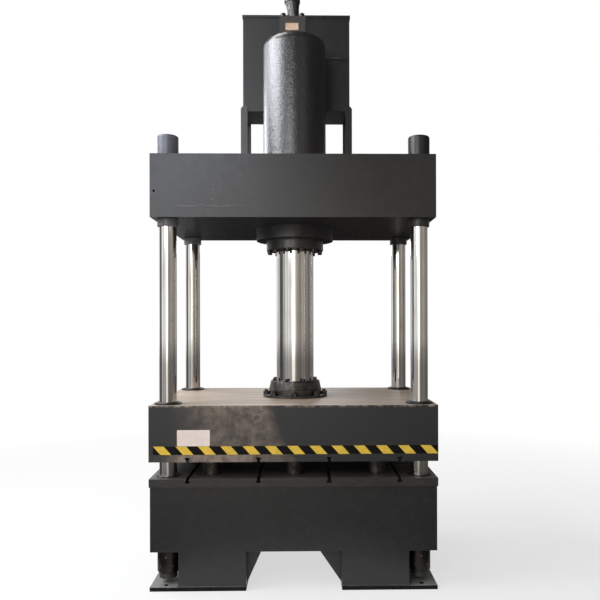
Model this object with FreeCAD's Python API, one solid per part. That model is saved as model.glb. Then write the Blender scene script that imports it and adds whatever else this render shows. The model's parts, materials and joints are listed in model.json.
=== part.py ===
import FreeCAD
import Part
import math
import os

# A four-column hydraulic press, about 4.2 m tall, in millimetres.
#
# +Z is up and the floor is z = 0. The press centre line is x = 0, y = 0. Its front faces -Y.
# From the floor up: foot plates, a welded bed with an arch between its legs, a T-slotted bed
# plate, the moving slide on four columns, the crown, the cylinder that hangs in the crown, and
# the oil tank on its stand behind the cylinder. Everything is drawn with the slide near the
# bottom of its stroke, 105 mm above the bed plate.
#
# The ram, piston and slide travel together along Z. Everything else stands still.

Vector = FreeCAD.Vector
UP = Vector(0, 0, 1)

# ---- Driving dimensions --------------------------------------------------------------------

# Table and overall plan
table_width = 1800.0            # slide and bed plate, along X
table_depth = 1120.0            # bed, slide and crown, along Y
column_from_side = 100.0        # column axis from the table's side edge
column_from_front = 105.0       # column axis from the table's front or rear edge

# Bed
foot_plate_thickness = 25.0
foot_plate_setback = 5.0        # outer end of a foot plate inside the table's side edge
anchor_from_front = 40.0        # anchor hole from the foot plate's front or rear edge
anchor_hole_diameter = 28.0
leg_from_side = 181.0           # outer face of a leg inside the table's side edge
leg_height = 215.0
arch_width = 596.0              # between the legs; foot plates end flush with them
gusset_reach_left = 98.0        # how far the left gusset reaches into the arch at its top
gusset_reach_right = 148.0
gusset_setback = 60.0           # gussets behind the bed's front and rear faces
bed_body_height = 403.0
body_setback = 6.0              # bed body inside the edges of the bed plate
bed_plate_thickness = 52.0

# T-slots in the bed plate and the slide, to the common 18 mm size
slot_spacing = 440.0
slot_count = 4
slot_neck_width = 18.0
slot_neck_depth = 14.0
slot_wide_width = 30.0
slot_wide_depth = 14.0

# Columns and their nuts
column_diameter = 110.0
column_thread_step = 0.7        # threaded ends are this much smaller in radius
column_end_above_floor = 60.0
column_end_chamfer = 5.0
lower_nut_wall = 13.0           # nut and ring walls are measured from the column
lower_nut_height = 145.0
cap_nut_wall = 13.0
cap_nut_height = 134.0
cap_nut_wall_above_column = 30.0
cap_nut_rounding = 12.0
ring_nut_wall = 11.0
ring_nut_height = 47.0
base_ring_wall = 17.0
base_ring_height = 7.0
nut_chamfer = 4.0
set_screw_diameter = 8.0
set_screw_angles = (-125.0, -90.0, -55.0)

# Stop posts in the bed plate, which the slide comes down on
stop_post_diameter = 110.0
stop_post_spacing = 530.0       # along X, from the middle post
stop_post_from_front = 167.0    # post axis from the table's front or rear edge
stop_post_chamfer = 3.0
stop_seat_depth = 5.0           # round seat of a post in the bed plate
stop_gap = 2.5                  # posts to slide in the drawn position

# Slide
daylight = 105.0                # bed plate to slide in the drawn position
slide_height = 350.0
guide_bush_wall = 15.0
guide_flange_width = 31.0       # flange, collar and screws are measured from the column
guide_flange_thickness = 9.0
guide_collar_width = 20.0
guide_collar_height = 6.0
guide_collar_slope = 11.0
wiper_width = 6.4
guide_screw_from_column = 25.0
guide_screw_diameter = 6.0
guide_screw_length = 18.0

# Crown
crown_underside = 2320.0        # above the floor
crown_height = 395.0
crown_setback = 10.0            # crown ends inside the table's side edges
lifting_hole_diameter = 16.0    # blind tapped hole in the crown's front face
lifting_hole_depth = 30.0
lifting_hole_from_end = 25.0
lifting_hole_above_underside = 162.0

# Cylinder
bore_diameter = 320.0
barrel_wall = 60.0
barrel_above_crown = 955.0
barrel_end_thickness = 80.0
barrel_shoulder_radius = 60.0
barrel_shoulder_sweep = 78.0    # degrees of the rounded shoulder
barrel_flat_diameter = 184.0
barrel_flange_width = 49.0      # past the barrel
barrel_flange_height = 80.0
lock_nut_wall = 42.0
lock_nut_height = 62.0
lock_nut_slot = (36.0, 18.0)    # width and depth of a spanner slot
head_port_diameter = 64.0
gland_width = 40.0              # past the bore
gland_height = 70.0
gland_spigot_height = 50.0
gland_bolt_from_bore = 23.0
gland_bolt_count = 12
gland_bolt_diameter = 20.0
gland_bolt_length = 100.0
gland_land_clearance = 1.0      # between ram and gland where no bush or seal runs
gland_bush_wall = 7.75
gland_bush_height = 67.0
rod_seal_width = 14.4
rod_seal_height = 17.0
rod_seal_from_face = 26.5
rod_wiper_width = 11.4
rod_wiper_height = 12.0
rod_wiper_lip = 4.0
annulus_port_diameter = 20.0
annulus_port_below_crown = 15.0
annulus_plug_length = 45.0

# Ram and piston
ram_diameter = 260.0
ram_foot_step = 40.0            # foot and tail are turned down by this much in radius
ram_foot_height = 40.0
ram_tail_step = 30.0
piston_underside = 2420.0       # above the floor in the drawn position
piston_height = 140.0
piston_seal_height = 12.0
piston_seal_depth = 9.65
piston_seal_from_end = 30.0
piston_nut_wall = 35.0
piston_nut_height = 50.0
ram_tail_past_nut = 10.0

# Ram flange on the slide
flange_thickness = 16.0
flange_hub_wall = 53.0          # round the ram
flange_hub_height = 42.0
flange_hub_chamfer = 3.0
flange_stud_from_hub = 21.0
flange_rim_past_stud = 21.0
flange_stud_count = 8
flange_stud_diameter = 24.0
flange_stud_above_flange = 31.0
flange_stud_in_slide = 50.0
clamp_ring_wall = 52.0
clamp_ring_height = 54.0
clamp_ring_taper = 11.0         # the ring's side leans in by this much towards its top
clamp_ring_chamfer = 5.0
clamp_bolt_from_ram = 23.0
clamp_bolt_count = 8
clamp_bolt_diameter = 16.0
clamp_bolt_in_flange = 26.0
split_ring_height = 30.0
split_ring_groove = 15.0        # depth of the ram's groove
split_ring_shoulder = 8.0       # ring stands this far out of the groove

# Head block, reducer and suction pipe on top of the cylinder
block_size = 180.0
block_height = 126.0
block_offset_x = -12.0
block_bolt_spacing = 130.0
block_bolt_diameter = 24.0
block_bolt_in_barrel = 40.0
reducer_diameter_bottom = 54.0
reducer_diameter_top = 100.0
reducer_height = 127.0
reducer_wall = 7.0
coupling_diameter = 110.0
coupling_height = 62.0
coupling_lip = 12.0
pipe_diameter = 89.0
pipe_wall = 4.0
pipe_rise = 75.0                # straight pipe above the coupling's lip
pipe_offset_x = -15.0           # the reducer is eccentric, so the pipe stands left of the port
pipe_bend_radius = 150.0
pipe_flange_diameter = 180.0
pipe_flange_thickness = 14.0
pipe_flange_bolt_circle = 145.0
pipe_flange_bolt_count = 4
pipe_flange_bolt_diameter = 12.0

# Oil tank and stand
tank_width = 790.0
tank_height = 710.0
tank_wall = 4.0
tank_rim = 22.0
tank_behind_barrel = 5.0       # gap between the barrel and the tank's front face
stand_from_rear = 5.0           # stand pads inside the crown's rear edge
tank_above_crown = 521.0
tank_offset_x = 10.0            # tank and stand stand this far right of the press centre line
lid_overhang = 5.0
lid_thickness = 3.0
lid_skirt = 16.0
lid_screw_diameter = 6.0
angle_leg = 50.0
angle_thickness = 5.0
leg_outside_tank = 17.5         # outer face of the stand beyond the tank's side
leg_lap = 39.0                  # legs reach this far up the tank's corners
leg_corner_cut = 18.0
rail_width = 45.0
pad_size = 90.0
pad_lip = 10.0                  # pad past the outer faces of its leg
pad_thickness = 8.0
pad_bolt_from_edge = 14.0
pad_bolt_diameter = 12.0
breather_diameter = 70.0
breather_neck_diameter = 44.0
breather_height = 70.0
gauge_size = (40.0, 14.0, 180.0)
drain_hex = 32.0
drain_length = 14.0

# Clearances
seat_clearance = 0.3            # round pieces that sit in or over one another
running_clearance = 0.05        # guide bush on column, gland bush on ram
piston_clearance = 0.1          # piston in bore
seal_clearance = 0.05           # piston seals in bore
bolt_clearance = 0.6            # radial, bolts in plain holes

# ---- Diameters, levels and places worked out from them ----------------------------------------

column_thread_diameter = column_diameter - 2 * column_thread_step
lower_nut_diameter = column_diameter + 2 * lower_nut_wall
cap_nut_diameter = column_diameter + 2 * cap_nut_wall
ring_nut_diameter = column_diameter + 2 * ring_nut_wall
base_ring_diameter = column_diameter + 2 * base_ring_wall
guide_flange_diameter = column_diameter + 2 * guide_flange_width
guide_collar_diameter = column_diameter + 2 * guide_collar_width
guide_screw_circle = column_diameter + 2 * guide_screw_from_column
barrel_diameter = bore_diameter + 2 * barrel_wall
barrel_flange_diameter = barrel_diameter + 2 * barrel_flange_width
lock_nut_diameter = barrel_diameter + 2 * lock_nut_wall
gland_diameter = bore_diameter + 2 * gland_width
gland_bolt_circle = bore_diameter + 2 * gland_bolt_from_bore
ram_foot_diameter = ram_diameter - 2 * ram_foot_step
ram_tail_diameter = ram_diameter - 2 * ram_tail_step
piston_nut_diameter = ram_tail_diameter + 2 * piston_nut_wall
flange_hub_diameter = ram_diameter + 2 * flange_hub_wall
flange_stud_circle = flange_hub_diameter + 2 * flange_stud_from_hub
flange_diameter = flange_stud_circle + 2 * flange_rim_past_stud
clamp_ring_diameter = ram_diameter + 2 * clamp_ring_wall
clamp_bolt_circle = ram_diameter + 2 * clamp_bolt_from_ram

column_x = table_width / 2 - column_from_side
column_y = table_depth / 2 - column_from_front
leg_top = foot_plate_thickness + leg_height
body_top = leg_top + bed_body_height
bed_top = body_top + bed_plate_thickness
slide_bottom = bed_top + daylight
slide_top = slide_bottom + slide_height
crown_top = crown_underside + crown_height
column_top = crown_top + cap_nut_height - cap_nut_wall_above_column
barrel_bottom = crown_underside - barrel_flange_height
barrel_top = crown_top + barrel_above_crown
bore_end = barrel_top - barrel_end_thickness
gland_bottom = barrel_bottom - gland_height
piston_top = piston_underside + piston_height
hub_top = slide_top + flange_thickness + flange_hub_height
clamp_top = hub_top + clamp_ring_height
block_top = barrel_top + block_height
reducer_top = block_top + reducer_height
pipe_start = reducer_top + coupling_lip
pipe_bend_start = pipe_start + pipe_rise
tank_bottom = crown_top + tank_above_crown
tank_front = barrel_diameter / 2 + tank_behind_barrel
tank_rear = table_depth / 2 - stand_from_rear - pad_lip - angle_thickness
tank_depth = tank_rear - tank_front
tank_centre_y = tank_front + tank_depth / 2
tank_left = tank_offset_x - tank_width / 2
tank_right = tank_offset_x + tank_width / 2
tank_top = tank_bottom + tank_height
lid_top = tank_top + lid_thickness

CORNERS = {
    "front_left": (-column_x, -column_y),
    "front_right": (column_x, -column_y),
    "rear_left": (-column_x, column_y),
    "rear_right": (column_x, column_y),
}


# ---- Shape helpers ----------------------------------------------------------------------------

def disc(diameter, z_low, z_high, x=0.0, y=0.0):
    """An upright round bar."""
    return Part.makeCylinder(diameter / 2, z_high - z_low, Vector(x, y, z_low))


def ring(outside, inside, z_low, z_high, x=0.0, y=0.0):
    """An upright ring with an outside and an inside diameter."""
    return disc(outside, z_low, z_high, x, y).cut(disc(inside, z_low, z_high, x, y))


def block(x_range, y_range, z_range):
    """A box between two values on each axis."""
    size = [high - low for low, high in (x_range, y_range, z_range)]
    return Part.makeBox(*size, Vector(x_range[0], y_range[0], z_range[0]))


def prism(outline, y_reach):
    """A front outline of (x, z) points, extruded from -y_reach to y_reach."""
    points = [Vector(x, -y_reach, z) for x, z in outline]
    return Part.Face(Part.makePolygon(points + points[:1])).extrude(Vector(0, 2 * y_reach, 0))


def turned(profile, x=0.0, y=0.0):
    """A solid turned about an upright axis from (radius, z) points."""
    points = [Vector(x + radius, y, z) for radius, z in profile]
    face = Part.Face(Part.makePolygon(points + points[:1]))
    return face.revolve(Vector(x, y, 0), UP, 360)


def hexagon(across_flats, z_low, z_high, x=0.0, y=0.0):
    """An upright hexagonal bar."""
    radius = across_flats / math.sqrt(3)
    corners = []
    for turn in range(7):
        angle = math.radians(60 * turn)
        corners.append(Vector(x + radius * math.cos(angle), y + radius * math.sin(angle), z_low))
    return Part.Face(Part.makePolygon(corners)).extrude(UP * (z_high - z_low))


def on_circle(circle, count, first_angle=0.0, x=0.0, y=0.0):
    """Places evenly spaced round a circle of the given diameter."""
    places = []
    for index in range(count):
        angle = math.radians(first_angle + 360.0 * index / count)
        places.append((x + circle / 2 * math.cos(angle), y + circle / 2 * math.sin(angle)))
    return places


def horizontal_bar(diameter, start, direction, length):
    """A round bar lying along a horizontal direction."""
    return Part.makeCylinder(diameter / 2, length, start, direction)


def chamfer_rims(shape, size, levels):
    """Chamfers the outer round edges that lie at the given levels."""
    edges = []
    for edge in shape.Edges:
        if not isinstance(edge.Curve, Part.Circle):
            continue
        low, high = edge.BoundBox.ZMin, edge.BoundBox.ZMax
        at_level = any(abs(low - z) < 0.01 and abs(high - z) < 0.01 for z in levels)
        if at_level and edge.Curve.Radius > 0.98 * shape.BoundBox.XLength / 2:
            edges.append(edge)
    return shape.makeChamfer(size, edges)


def cap_screw(thread, x, y, z_seat, length, upwards_head=True):
    """A socket-head cap screw whose head stands on (or hangs under) z_seat."""
    sign = 1 if upwards_head else -1
    head_z = sorted((z_seat, z_seat + sign * thread))
    shank_z = sorted((z_seat, z_seat - sign * length))
    socket_z = sorted((z_seat + sign * thread, z_seat + sign * 0.5 * thread))
    screw = disc(1.5 * thread, *head_z, x, y).fuse(disc(thread, *shank_z, x, y))
    return screw.cut(hexagon(0.8 * thread, *socket_z, x, y)).removeSplitter()


def hex_bolt(thread, x, y, z_seat, length):
    """A hexagon bolt whose head stands on z_seat."""
    head = hexagon(1.5 * thread, z_seat, z_seat + 0.65 * thread, x, y)
    return head.fuse(disc(thread, z_seat - length, z_seat, x, y)).removeSplitter()


def t_slots(face_z, inward):
    """The T-slots of a table: a neck open at face_z, then the wide part further inward."""
    cutters = []
    for index in range(slot_count):
        x = (index - (slot_count - 1) / 2) * slot_spacing
        neck_end = face_z + inward * slot_neck_depth
        wide_end = neck_end + inward * slot_wide_depth
        y_range = (-table_depth / 2, table_depth / 2)
        for width, z_pair in ((slot_neck_width, (face_z, neck_end)),
                              (slot_wide_width, (neck_end, wide_end))):
            cutters.append(block((x - width / 2, x + width / 2), y_range, sorted(z_pair)))
    return Part.makeCompound(cutters)


# ---- Bed --------------------------------------------------------------------------------------

def bed_frame():
    """Body and both legs, one weldment closed inside, with a sloping gusset on each leg."""
    body_x = table_width / 2 - body_setback
    leg_x = table_width / 2 - leg_from_side
    inner_x = arch_width / 2
    rear_y = table_depth / 2 - body_setback
    low, high = foot_plate_thickness, leg_top
    right_half = [(inner_x, high), (inner_x, low), (leg_x, low),
                  (leg_x, high), (body_x, high), (body_x, body_top)]
    shape = prism(right_half + [(-x, z) for x, z in reversed(right_half)], rear_y)
    for side, reach in ((-1, gusset_reach_left), (1, gusset_reach_right)):
        gusset = [(side * inner_x, low), (side * (inner_x - reach), high), (side * inner_x, high)]
        shape = shape.fuse(prism(gusset, rear_y - gusset_setback))
    bore = column_diameter + 2 * seat_clearance
    shape = shape.cut([disc(bore, leg_top, body_top, *place) for place in CORNERS.values()])
    return shape.removeSplitter()


def foot_plate(side):
    """One foot plate with its two anchor holes; side is -1 for left, 1 for right."""
    outer = table_width / 2 - foot_plate_setback
    x_range = sorted((side * arch_width / 2, side * outer))
    y_half = table_depth / 2
    shape = block(x_range, (-y_half, y_half), (0, foot_plate_thickness))
    anchor_y = y_half - anchor_from_front
    for y in (-anchor_y, anchor_y):
        shape = shape.cut(disc(anchor_hole_diameter, 0, foot_plate_thickness, side * column_x, y))
    return shape


def bed_plate():
    """The T-slotted plate that dies are clamped to."""
    half_x, half_y = table_width / 2, table_depth / 2
    shape = block((-half_x, half_x), (-half_y, half_y), (body_top, bed_top))
    bore = column_diameter + 2 * seat_clearance
    holes = [disc(bore, body_top, bed_top, *place) for place in CORNERS.values()]
    seat = stop_post_diameter + 2 * seat_clearance
    holes += [disc(seat, bed_top - stop_seat_depth, bed_top, *place) for place in stop_post_places()]
    return shape.cut(holes + [t_slots(bed_top, -1)])


def stop_post_places():
    y_row = table_depth / 2 - stop_post_from_front
    return [(x, y) for x in (-stop_post_spacing, 0, stop_post_spacing) for y in (-y_row, y_row)]


def stop_posts():
    """Two rows of round posts that the slide comes down on, each in its seat in the bed plate."""
    top = slide_bottom - stop_gap
    return Part.makeCompound([
        chamfer_rims(disc(stop_post_diameter, bed_top - stop_seat_depth, top, *place),
                     stop_post_chamfer, [top])
        for place in stop_post_places()])


def column_base_rings():
    inside = column_diameter + 2 * seat_clearance
    rings = []
    for place in CORNERS.values():
        one = ring(base_ring_diameter, inside, bed_top, bed_top + base_ring_height, *place)
        rings.append(chamfer_rims(one, base_ring_height / 3, [bed_top + base_ring_height]))
    return Part.makeCompound(rings)


# ---- Columns and nuts -------------------------------------------------------------------------

def column(x, y):
    """A chromed column, turned down where its lower nut and its crown nuts are threaded on."""
    full, thread = column_diameter / 2, column_thread_diameter / 2
    thread_start = crown_underside - ring_nut_height - column_end_chamfer
    step = full - thread
    return turned([
        (0, column_end_above_floor),
        (thread - column_end_chamfer, column_end_above_floor),
        (thread, column_end_above_floor + column_end_chamfer),
        (thread, leg_top),
        (full, leg_top + step),
        (full, thread_start - step),
        (thread, thread_start),
        (thread, column_top - column_end_chamfer),
        (thread - column_end_chamfer, column_top),
        (0, column_top),
    ], x, y)


def set_screw_places(x, y):
    """Start points and directions of the set screws in one lower nut."""
    middle = leg_top - lower_nut_height / 2
    heights = (middle - lower_nut_height / 5, middle + lower_nut_height / 5,
               middle - lower_nut_height / 5)
    places = []
    for angle, z in zip(set_screw_angles, heights):
        out = Vector(math.cos(math.radians(angle)), math.sin(math.radians(angle)), 0)
        places.append((Vector(x, y, z) + out * (column_thread_diameter / 2 + 1), out))
    return places


def lower_nuts():
    """Long round nuts under the bed body, each with three set-screw holes."""
    inside = column_thread_diameter + 2 * seat_clearance
    bottom = leg_top - lower_nut_height
    nuts = []
    for place in CORNERS.values():
        nut = ring(lower_nut_diameter, inside, bottom, leg_top, *place)
        nut = chamfer_rims(nut, nut_chamfer, [bottom])
        hole = set_screw_diameter + 2 * seat_clearance
        for start, out in set_screw_places(*place):
            nut = nut.cut(horizontal_bar(hole, start - out * 2, out, lower_nut_diameter / 2))
        nuts.append(nut)
    return Part.makeCompound(nuts)


def lower_nut_set_screws():
    length = (lower_nut_diameter - column_thread_diameter) / 2 - 2
    screws = []
    for place in CORNERS.values():
        for start, out in set_screw_places(*place):
            screws.append(horizontal_bar(set_screw_diameter, start, out, length))
    return Part.makeCompound(screws)


def cap_nuts():
    """Closed round nuts on the crown, with rounded tops."""
    inside = column_thread_diameter + 2 * seat_clearance
    top = crown_top + cap_nut_height
    nuts = []
    for place in CORNERS.values():
        nut = disc(cap_nut_diameter, crown_top, top, *place)
        top_edge = [edge for edge in nut.Edges if edge.BoundBox.ZMin > top - 0.01]
        nut = nut.makeFillet(cap_nut_rounding, top_edge)
        nuts.append(nut.cut(disc(inside, crown_top, column_top + 2, *place)))
    return Part.makeCompound(nuts)


def crown_ring_nuts():
    inside = column_thread_diameter + 2 * seat_clearance
    bottom = crown_underside - ring_nut_height
    nuts = []
    for place in CORNERS.values():
        nut = ring(ring_nut_diameter, inside, bottom, crown_underside, *place)
        nuts.append(chamfer_rims(nut, nut_chamfer, [bottom]))
    return Part.makeCompound(nuts)


# ---- Crown and cylinder -----------------------------------------------------------------------

def crown_beam():
    """The crown weldment with its column bores and the bore that the cylinder hangs in."""
    half_x, half_y = table_width / 2 - crown_setback, table_depth / 2
    shape = block((-half_x, half_x), (-half_y, half_y), (crown_underside, crown_top))
    bore = column_diameter + 2 * seat_clearance
    holes = [disc(bore, crown_underside, crown_top, *place) for place in CORNERS.values()]
    holes.append(disc(barrel_diameter + 2 * seat_clearance, crown_underside, crown_top))
    holes += [disc(pad_bolt_diameter + 2 * seat_clearance, crown_top - 30, crown_top, x, y)
              for x, y in pad_bolt_places()]
    lifting_start = Vector(-half_x + lifting_hole_from_end, -half_y,
                           crown_underside + lifting_hole_above_underside)
    holes.append(horizontal_bar(lifting_hole_diameter, lifting_start, Vector(0, 1, 0),
                                lifting_hole_depth))
    return shape.cut(holes)


def barrel_outline():
    """Outer edge of the barrel's section from the flange up to its flat top."""
    sweep = math.radians(barrel_shoulder_sweep)
    outside, radius = barrel_diameter / 2, barrel_shoulder_radius
    slope = math.cos(sweep) / math.sin(sweep)
    arc_end_x = outside - radius + radius * math.cos(sweep)
    slope_rise = (arc_end_x - barrel_flat_diameter / 2) * slope
    arc_start_z = barrel_top - slope_rise - radius * math.sin(sweep)

    def on_arc(angle):
        x = outside - radius + radius * math.cos(angle)
        return Vector(x, 0, arc_start_z + radius * math.sin(angle))

    corners = [
        Vector(bore_diameter / 2, 0, barrel_bottom),
        Vector(barrel_flange_diameter / 2, 0, barrel_bottom),
        Vector(barrel_flange_diameter / 2, 0, crown_underside),
        Vector(outside, 0, crown_underside),
        on_arc(0),
    ]
    edges = [Part.makeLine(a, b) for a, b in zip(corners, corners[1:])]
    edges.append(Part.Arc(on_arc(0), on_arc(sweep / 2), on_arc(sweep)).toShape())
    tail = [
        on_arc(sweep),
        Vector(barrel_flat_diameter / 2, 0, barrel_top),
        Vector(head_port_diameter / 2, 0, barrel_top),
        Vector(head_port_diameter / 2, 0, bore_end),
        Vector(bore_diameter / 2, 0, bore_end),
        corners[0],
    ]
    return edges + [Part.makeLine(a, b) for a, b in zip(tail, tail[1:])]


def cylinder_barrel():
    """Barrel turned with its load flange under the crown and its closed, shouldered top."""
    shape = Part.Face(Part.Wire(barrel_outline())).revolve(Vector(0, 0, 0), UP, 360)
    depth = gland_bolt_length - gland_height + 5
    hole = gland_bolt_diameter + 2 * seat_clearance
    holes = [disc(hole, barrel_bottom, barrel_bottom + depth, *place)
             for place in on_circle(gland_bolt_circle, gland_bolt_count, 15)]
    hole = block_bolt_diameter + 2 * seat_clearance
    holes += [disc(hole, barrel_top - block_bolt_in_barrel - 5, barrel_top + 20, *place)
              for place in block_bolt_places()]
    port_z = crown_underside - annulus_port_below_crown
    length = (barrel_flange_diameter - bore_diameter) / 2 + 10
    start = Vector(0, bore_diameter / 2 - 5, port_z)
    port = horizontal_bar(annulus_port_diameter + 2 * seat_clearance, start, Vector(0, 1, 0), length)
    return shape.cut(holes + [port])


def annulus_port_plug():
    """Plug in the port under the piston, at the rear of the barrel flange."""
    port_z = crown_underside - annulus_port_below_crown
    seat = barrel_flange_diameter / 2
    flats = 1.2 * annulus_port_diameter
    head = hexagon(flats, 0, 0.6 * annulus_port_diameter)
    head.rotate(Vector(0, 0, 0), UP, 30)
    head.rotate(Vector(0, 0, 0), Vector(1, 0, 0), -90)
    head.translate(Vector(0, seat, port_z))
    stem_start = Vector(0, seat - annulus_plug_length, port_z)
    stem = horizontal_bar(annulus_port_diameter, stem_start, Vector(0, 1, 0), annulus_plug_length)
    return head.fuse(stem).removeSplitter()


def cylinder_lock_nut():
    """Slotted round nut that holds the barrel down on the crown."""
    inside = barrel_diameter + 2 * seat_clearance
    nut = ring(lock_nut_diameter, inside, crown_top, crown_top + lock_nut_height)
    width, depth = lock_nut_slot
    for turn in range(4):
        slot = block((-width / 2, width / 2),
                     (lock_nut_diameter / 2 - depth, lock_nut_diameter / 2 + depth),
                     (crown_top, crown_top + lock_nut_height))
        slot.rotate(Vector(0, 0, 0), UP, 45 + 90 * turn)
        nut = nut.cut(slot)
    return nut


def gland():
    """Bolted end cover of the cylinder, with its spigot, bush seat and seal grooves."""
    spigot_top = barrel_bottom + gland_spigot_height
    shape = disc(gland_diameter, gland_bottom, barrel_bottom)
    shape = chamfer_rims(shape, nut_chamfer, [gland_bottom])
    shape = shape.fuse(disc(bore_diameter - 2 * seat_clearance, barrel_bottom, spigot_top))
    bolt_hole = gland_bolt_diameter + 2 * bolt_clearance
    seat = 2 * seat_clearance
    seal_low = gland_bottom + rod_seal_from_face
    cuts = [
        disc(ram_diameter + 2 * gland_land_clearance, gland_bottom, spigot_top),
        disc(ram_diameter + 2 * gland_bush_wall + seat,
             spigot_top - gland_bush_height - 2 * seat_clearance, spigot_top),
        disc(ram_diameter + 2 * rod_seal_width + seat,
             seal_low - seat_clearance, seal_low + rod_seal_height + seat_clearance),
        disc(ram_diameter + 2 * rod_wiper_width + seat,
             gland_bottom, gland_bottom + rod_wiper_height),
    ]
    cuts += [disc(bolt_hole, gland_bottom, barrel_bottom, *place)
             for place in on_circle(gland_bolt_circle, gland_bolt_count, 15)]
    return shape.cut(cuts).removeSplitter()


def gland_bush():
    top = barrel_bottom + gland_spigot_height - seat_clearance
    return ring(ram_diameter + 2 * gland_bush_wall, ram_diameter + 2 * running_clearance,
                top - gland_bush_height, top)


def rod_seal():
    low = gland_bottom + rod_seal_from_face
    return ring(ram_diameter + 2 * rod_seal_width, ram_diameter + 2 * seat_clearance,
                low, low + rod_seal_height)


def rod_wiper():
    """Wiper whose lip shows below the gland, round the ram."""
    outer, inner = ram_diameter / 2 + rod_wiper_width, ram_diameter / 2 + seat_clearance
    top = gland_bottom + rod_wiper_height - seat_clearance
    return turned([
        (inner, gland_bottom - rod_wiper_lip),
        (inner + rod_wiper_width / 3, gland_bottom - rod_wiper_lip),
        (inner + rod_wiper_width / 2, gland_bottom),
        (outer, gland_bottom),
        (outer, top),
        (inner, top),
    ])


def gland_bolts():
    places = on_circle(gland_bolt_circle, gland_bolt_count, 15)
    return Part.makeCompound([
        cap_screw(gland_bolt_diameter, x, y, gland_bottom, gland_bolt_length, False)
        for x, y in places])


# ---- Head block, reducer, suction pipe ----------------------------------------------------------

def block_bolt_places():
    half = block_bolt_spacing / 2
    return [(block_offset_x + sx * half, sy * half) for sx in (-1, 1) for sy in (-1, 1)]


def head_block():
    """Square valve block on top of the cylinder."""
    half = block_size / 2
    shape = block((block_offset_x - half, block_offset_x + half), (-half, half),
                  (barrel_top, block_top))
    holes = [disc(head_port_diameter, barrel_top, block_top - 40),
             disc(reducer_diameter_bottom - 2 * reducer_wall, block_top - 40, block_top)]
    holes += [disc(block_bolt_diameter + 2 * bolt_clearance, barrel_top, block_top, *place)
              for place in block_bolt_places()]
    return shape.cut(holes)


def head_block_bolts():
    length = block_height + block_bolt_in_barrel
    return Part.makeCompound([cap_screw(block_bolt_diameter, x, y, block_top, length)
                              for x, y in block_bolt_places()])


def pipe_reducer():
    """Eccentric reducer between the head block and the suction pipe."""

    def skew_cone(bottom, top):
        rims = [Part.Wire(Part.makeCircle(bottom / 2, Vector(0, 0, block_top))),
                Part.Wire(Part.makeCircle(top / 2, Vector(pipe_offset_x, 0, reducer_top)))]
        return Part.makeLoft(rims, True, True)

    outer = skew_cone(reducer_diameter_bottom, reducer_diameter_top)
    return outer.cut(skew_cone(reducer_diameter_bottom - 2 * reducer_wall,
                               reducer_diameter_top - 2 * reducer_wall))


def pipe_coupling():
    bore = reducer_diameter_top - 2 * reducer_wall
    socket = pipe_diameter + 2 * seat_clearance
    top = reducer_top + coupling_height
    shape = disc(coupling_diameter, reducer_top, top, pipe_offset_x)
    shape = chamfer_rims(shape, 3, [reducer_top, top])
    return shape.cut([disc(bore, reducer_top, top, pipe_offset_x),
                      disc(socket, pipe_start, top, pipe_offset_x)])


def pipe_solid(diameter):
    """The pipe's route at one diameter: up, over to the tank, and down into its lid."""
    radius = pipe_bend_radius
    over_z = pipe_bend_start + radius
    over_length = tank_centre_y - 2 * radius
    x = pipe_offset_x
    rise = disc(diameter, pipe_start, pipe_bend_start, x)
    over = horizontal_bar(diameter, Vector(x, radius, over_z), Vector(0, 1, 0), over_length)
    fall = disc(diameter, tank_top - 40, pipe_bend_start, x, tank_centre_y)
    first = Part.Face(Part.Wire(Part.makeCircle(diameter / 2, Vector(x, 0, pipe_bend_start))))
    first = first.revolve(Vector(x, radius, pipe_bend_start), Vector(-1, 0, 0), 90)
    centre = Vector(x, tank_centre_y, pipe_bend_start)
    second = Part.Face(Part.Wire(Part.makeCircle(diameter / 2, centre)))
    second = second.revolve(centre - Vector(0, radius, 0), Vector(1, 0, 0), 90)
    return rise.fuse([first, over, second, fall]).removeSplitter()


def suction_pipe():
    return pipe_solid(pipe_diameter).cut(pipe_solid(pipe_diameter - 2 * pipe_wall))


def pipe_flange_places():
    return on_circle(pipe_flange_bolt_circle, pipe_flange_bolt_count, 45, pipe_offset_x,
                     tank_centre_y)


def pipe_flange():
    shape = ring(pipe_flange_diameter, pipe_diameter + 2 * seat_clearance,
                 lid_top, lid_top + pipe_flange_thickness, pipe_offset_x, tank_centre_y)
    hole = pipe_flange_bolt_diameter + 2 * bolt_clearance
    return shape.cut([disc(hole, lid_top, lid_top + pipe_flange_thickness, *place)
                      for place in pipe_flange_places()])


def pipe_flange_bolts():
    length = pipe_flange_thickness + lid_thickness + 10
    return Part.makeCompound([
        hex_bolt(pipe_flange_bolt_diameter, x, y, lid_top + pipe_flange_thickness, length)
        for x, y in pipe_flange_places()])


# ---- Tank and stand ---------------------------------------------------------------------------

def tank_body():
    """Open-topped sheet-metal tank with a rim turned inward for the lid screws."""
    outer = block((tank_left, tank_right), (tank_front, tank_rear), (tank_bottom, tank_top))
    inner = block((tank_left + tank_wall, tank_right - tank_wall),
                  (tank_front + tank_wall, tank_rear - tank_wall),
                  (tank_bottom + tank_wall, tank_top - tank_wall))
    mouth = block((tank_left + tank_rim, tank_right - tank_rim),
                  (tank_front + tank_rim, tank_rear - tank_rim),
                  (tank_top - tank_wall, tank_top))
    hole = lid_screw_diameter + 2 * seat_clearance
    holes = [disc(hole, tank_top - tank_wall, tank_top, x, y) for x, y in lid_screw_places()]
    return outer.cut([inner, mouth] + holes)


def lid_screw_places():
    """Screws along the rim: five on each long side, one in the middle of each end."""
    inset = tank_rim / 2 + tank_wall / 2
    x_first, x_last = tank_left + inset, tank_right - inset
    places = []
    for index in range(5):
        x = x_first + index * (x_last - x_first) / 4
        places += [(x, tank_front + inset), (x, tank_rear - inset)]
    return places + [(x_first, tank_centre_y), (x_last, tank_centre_y)]


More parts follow.
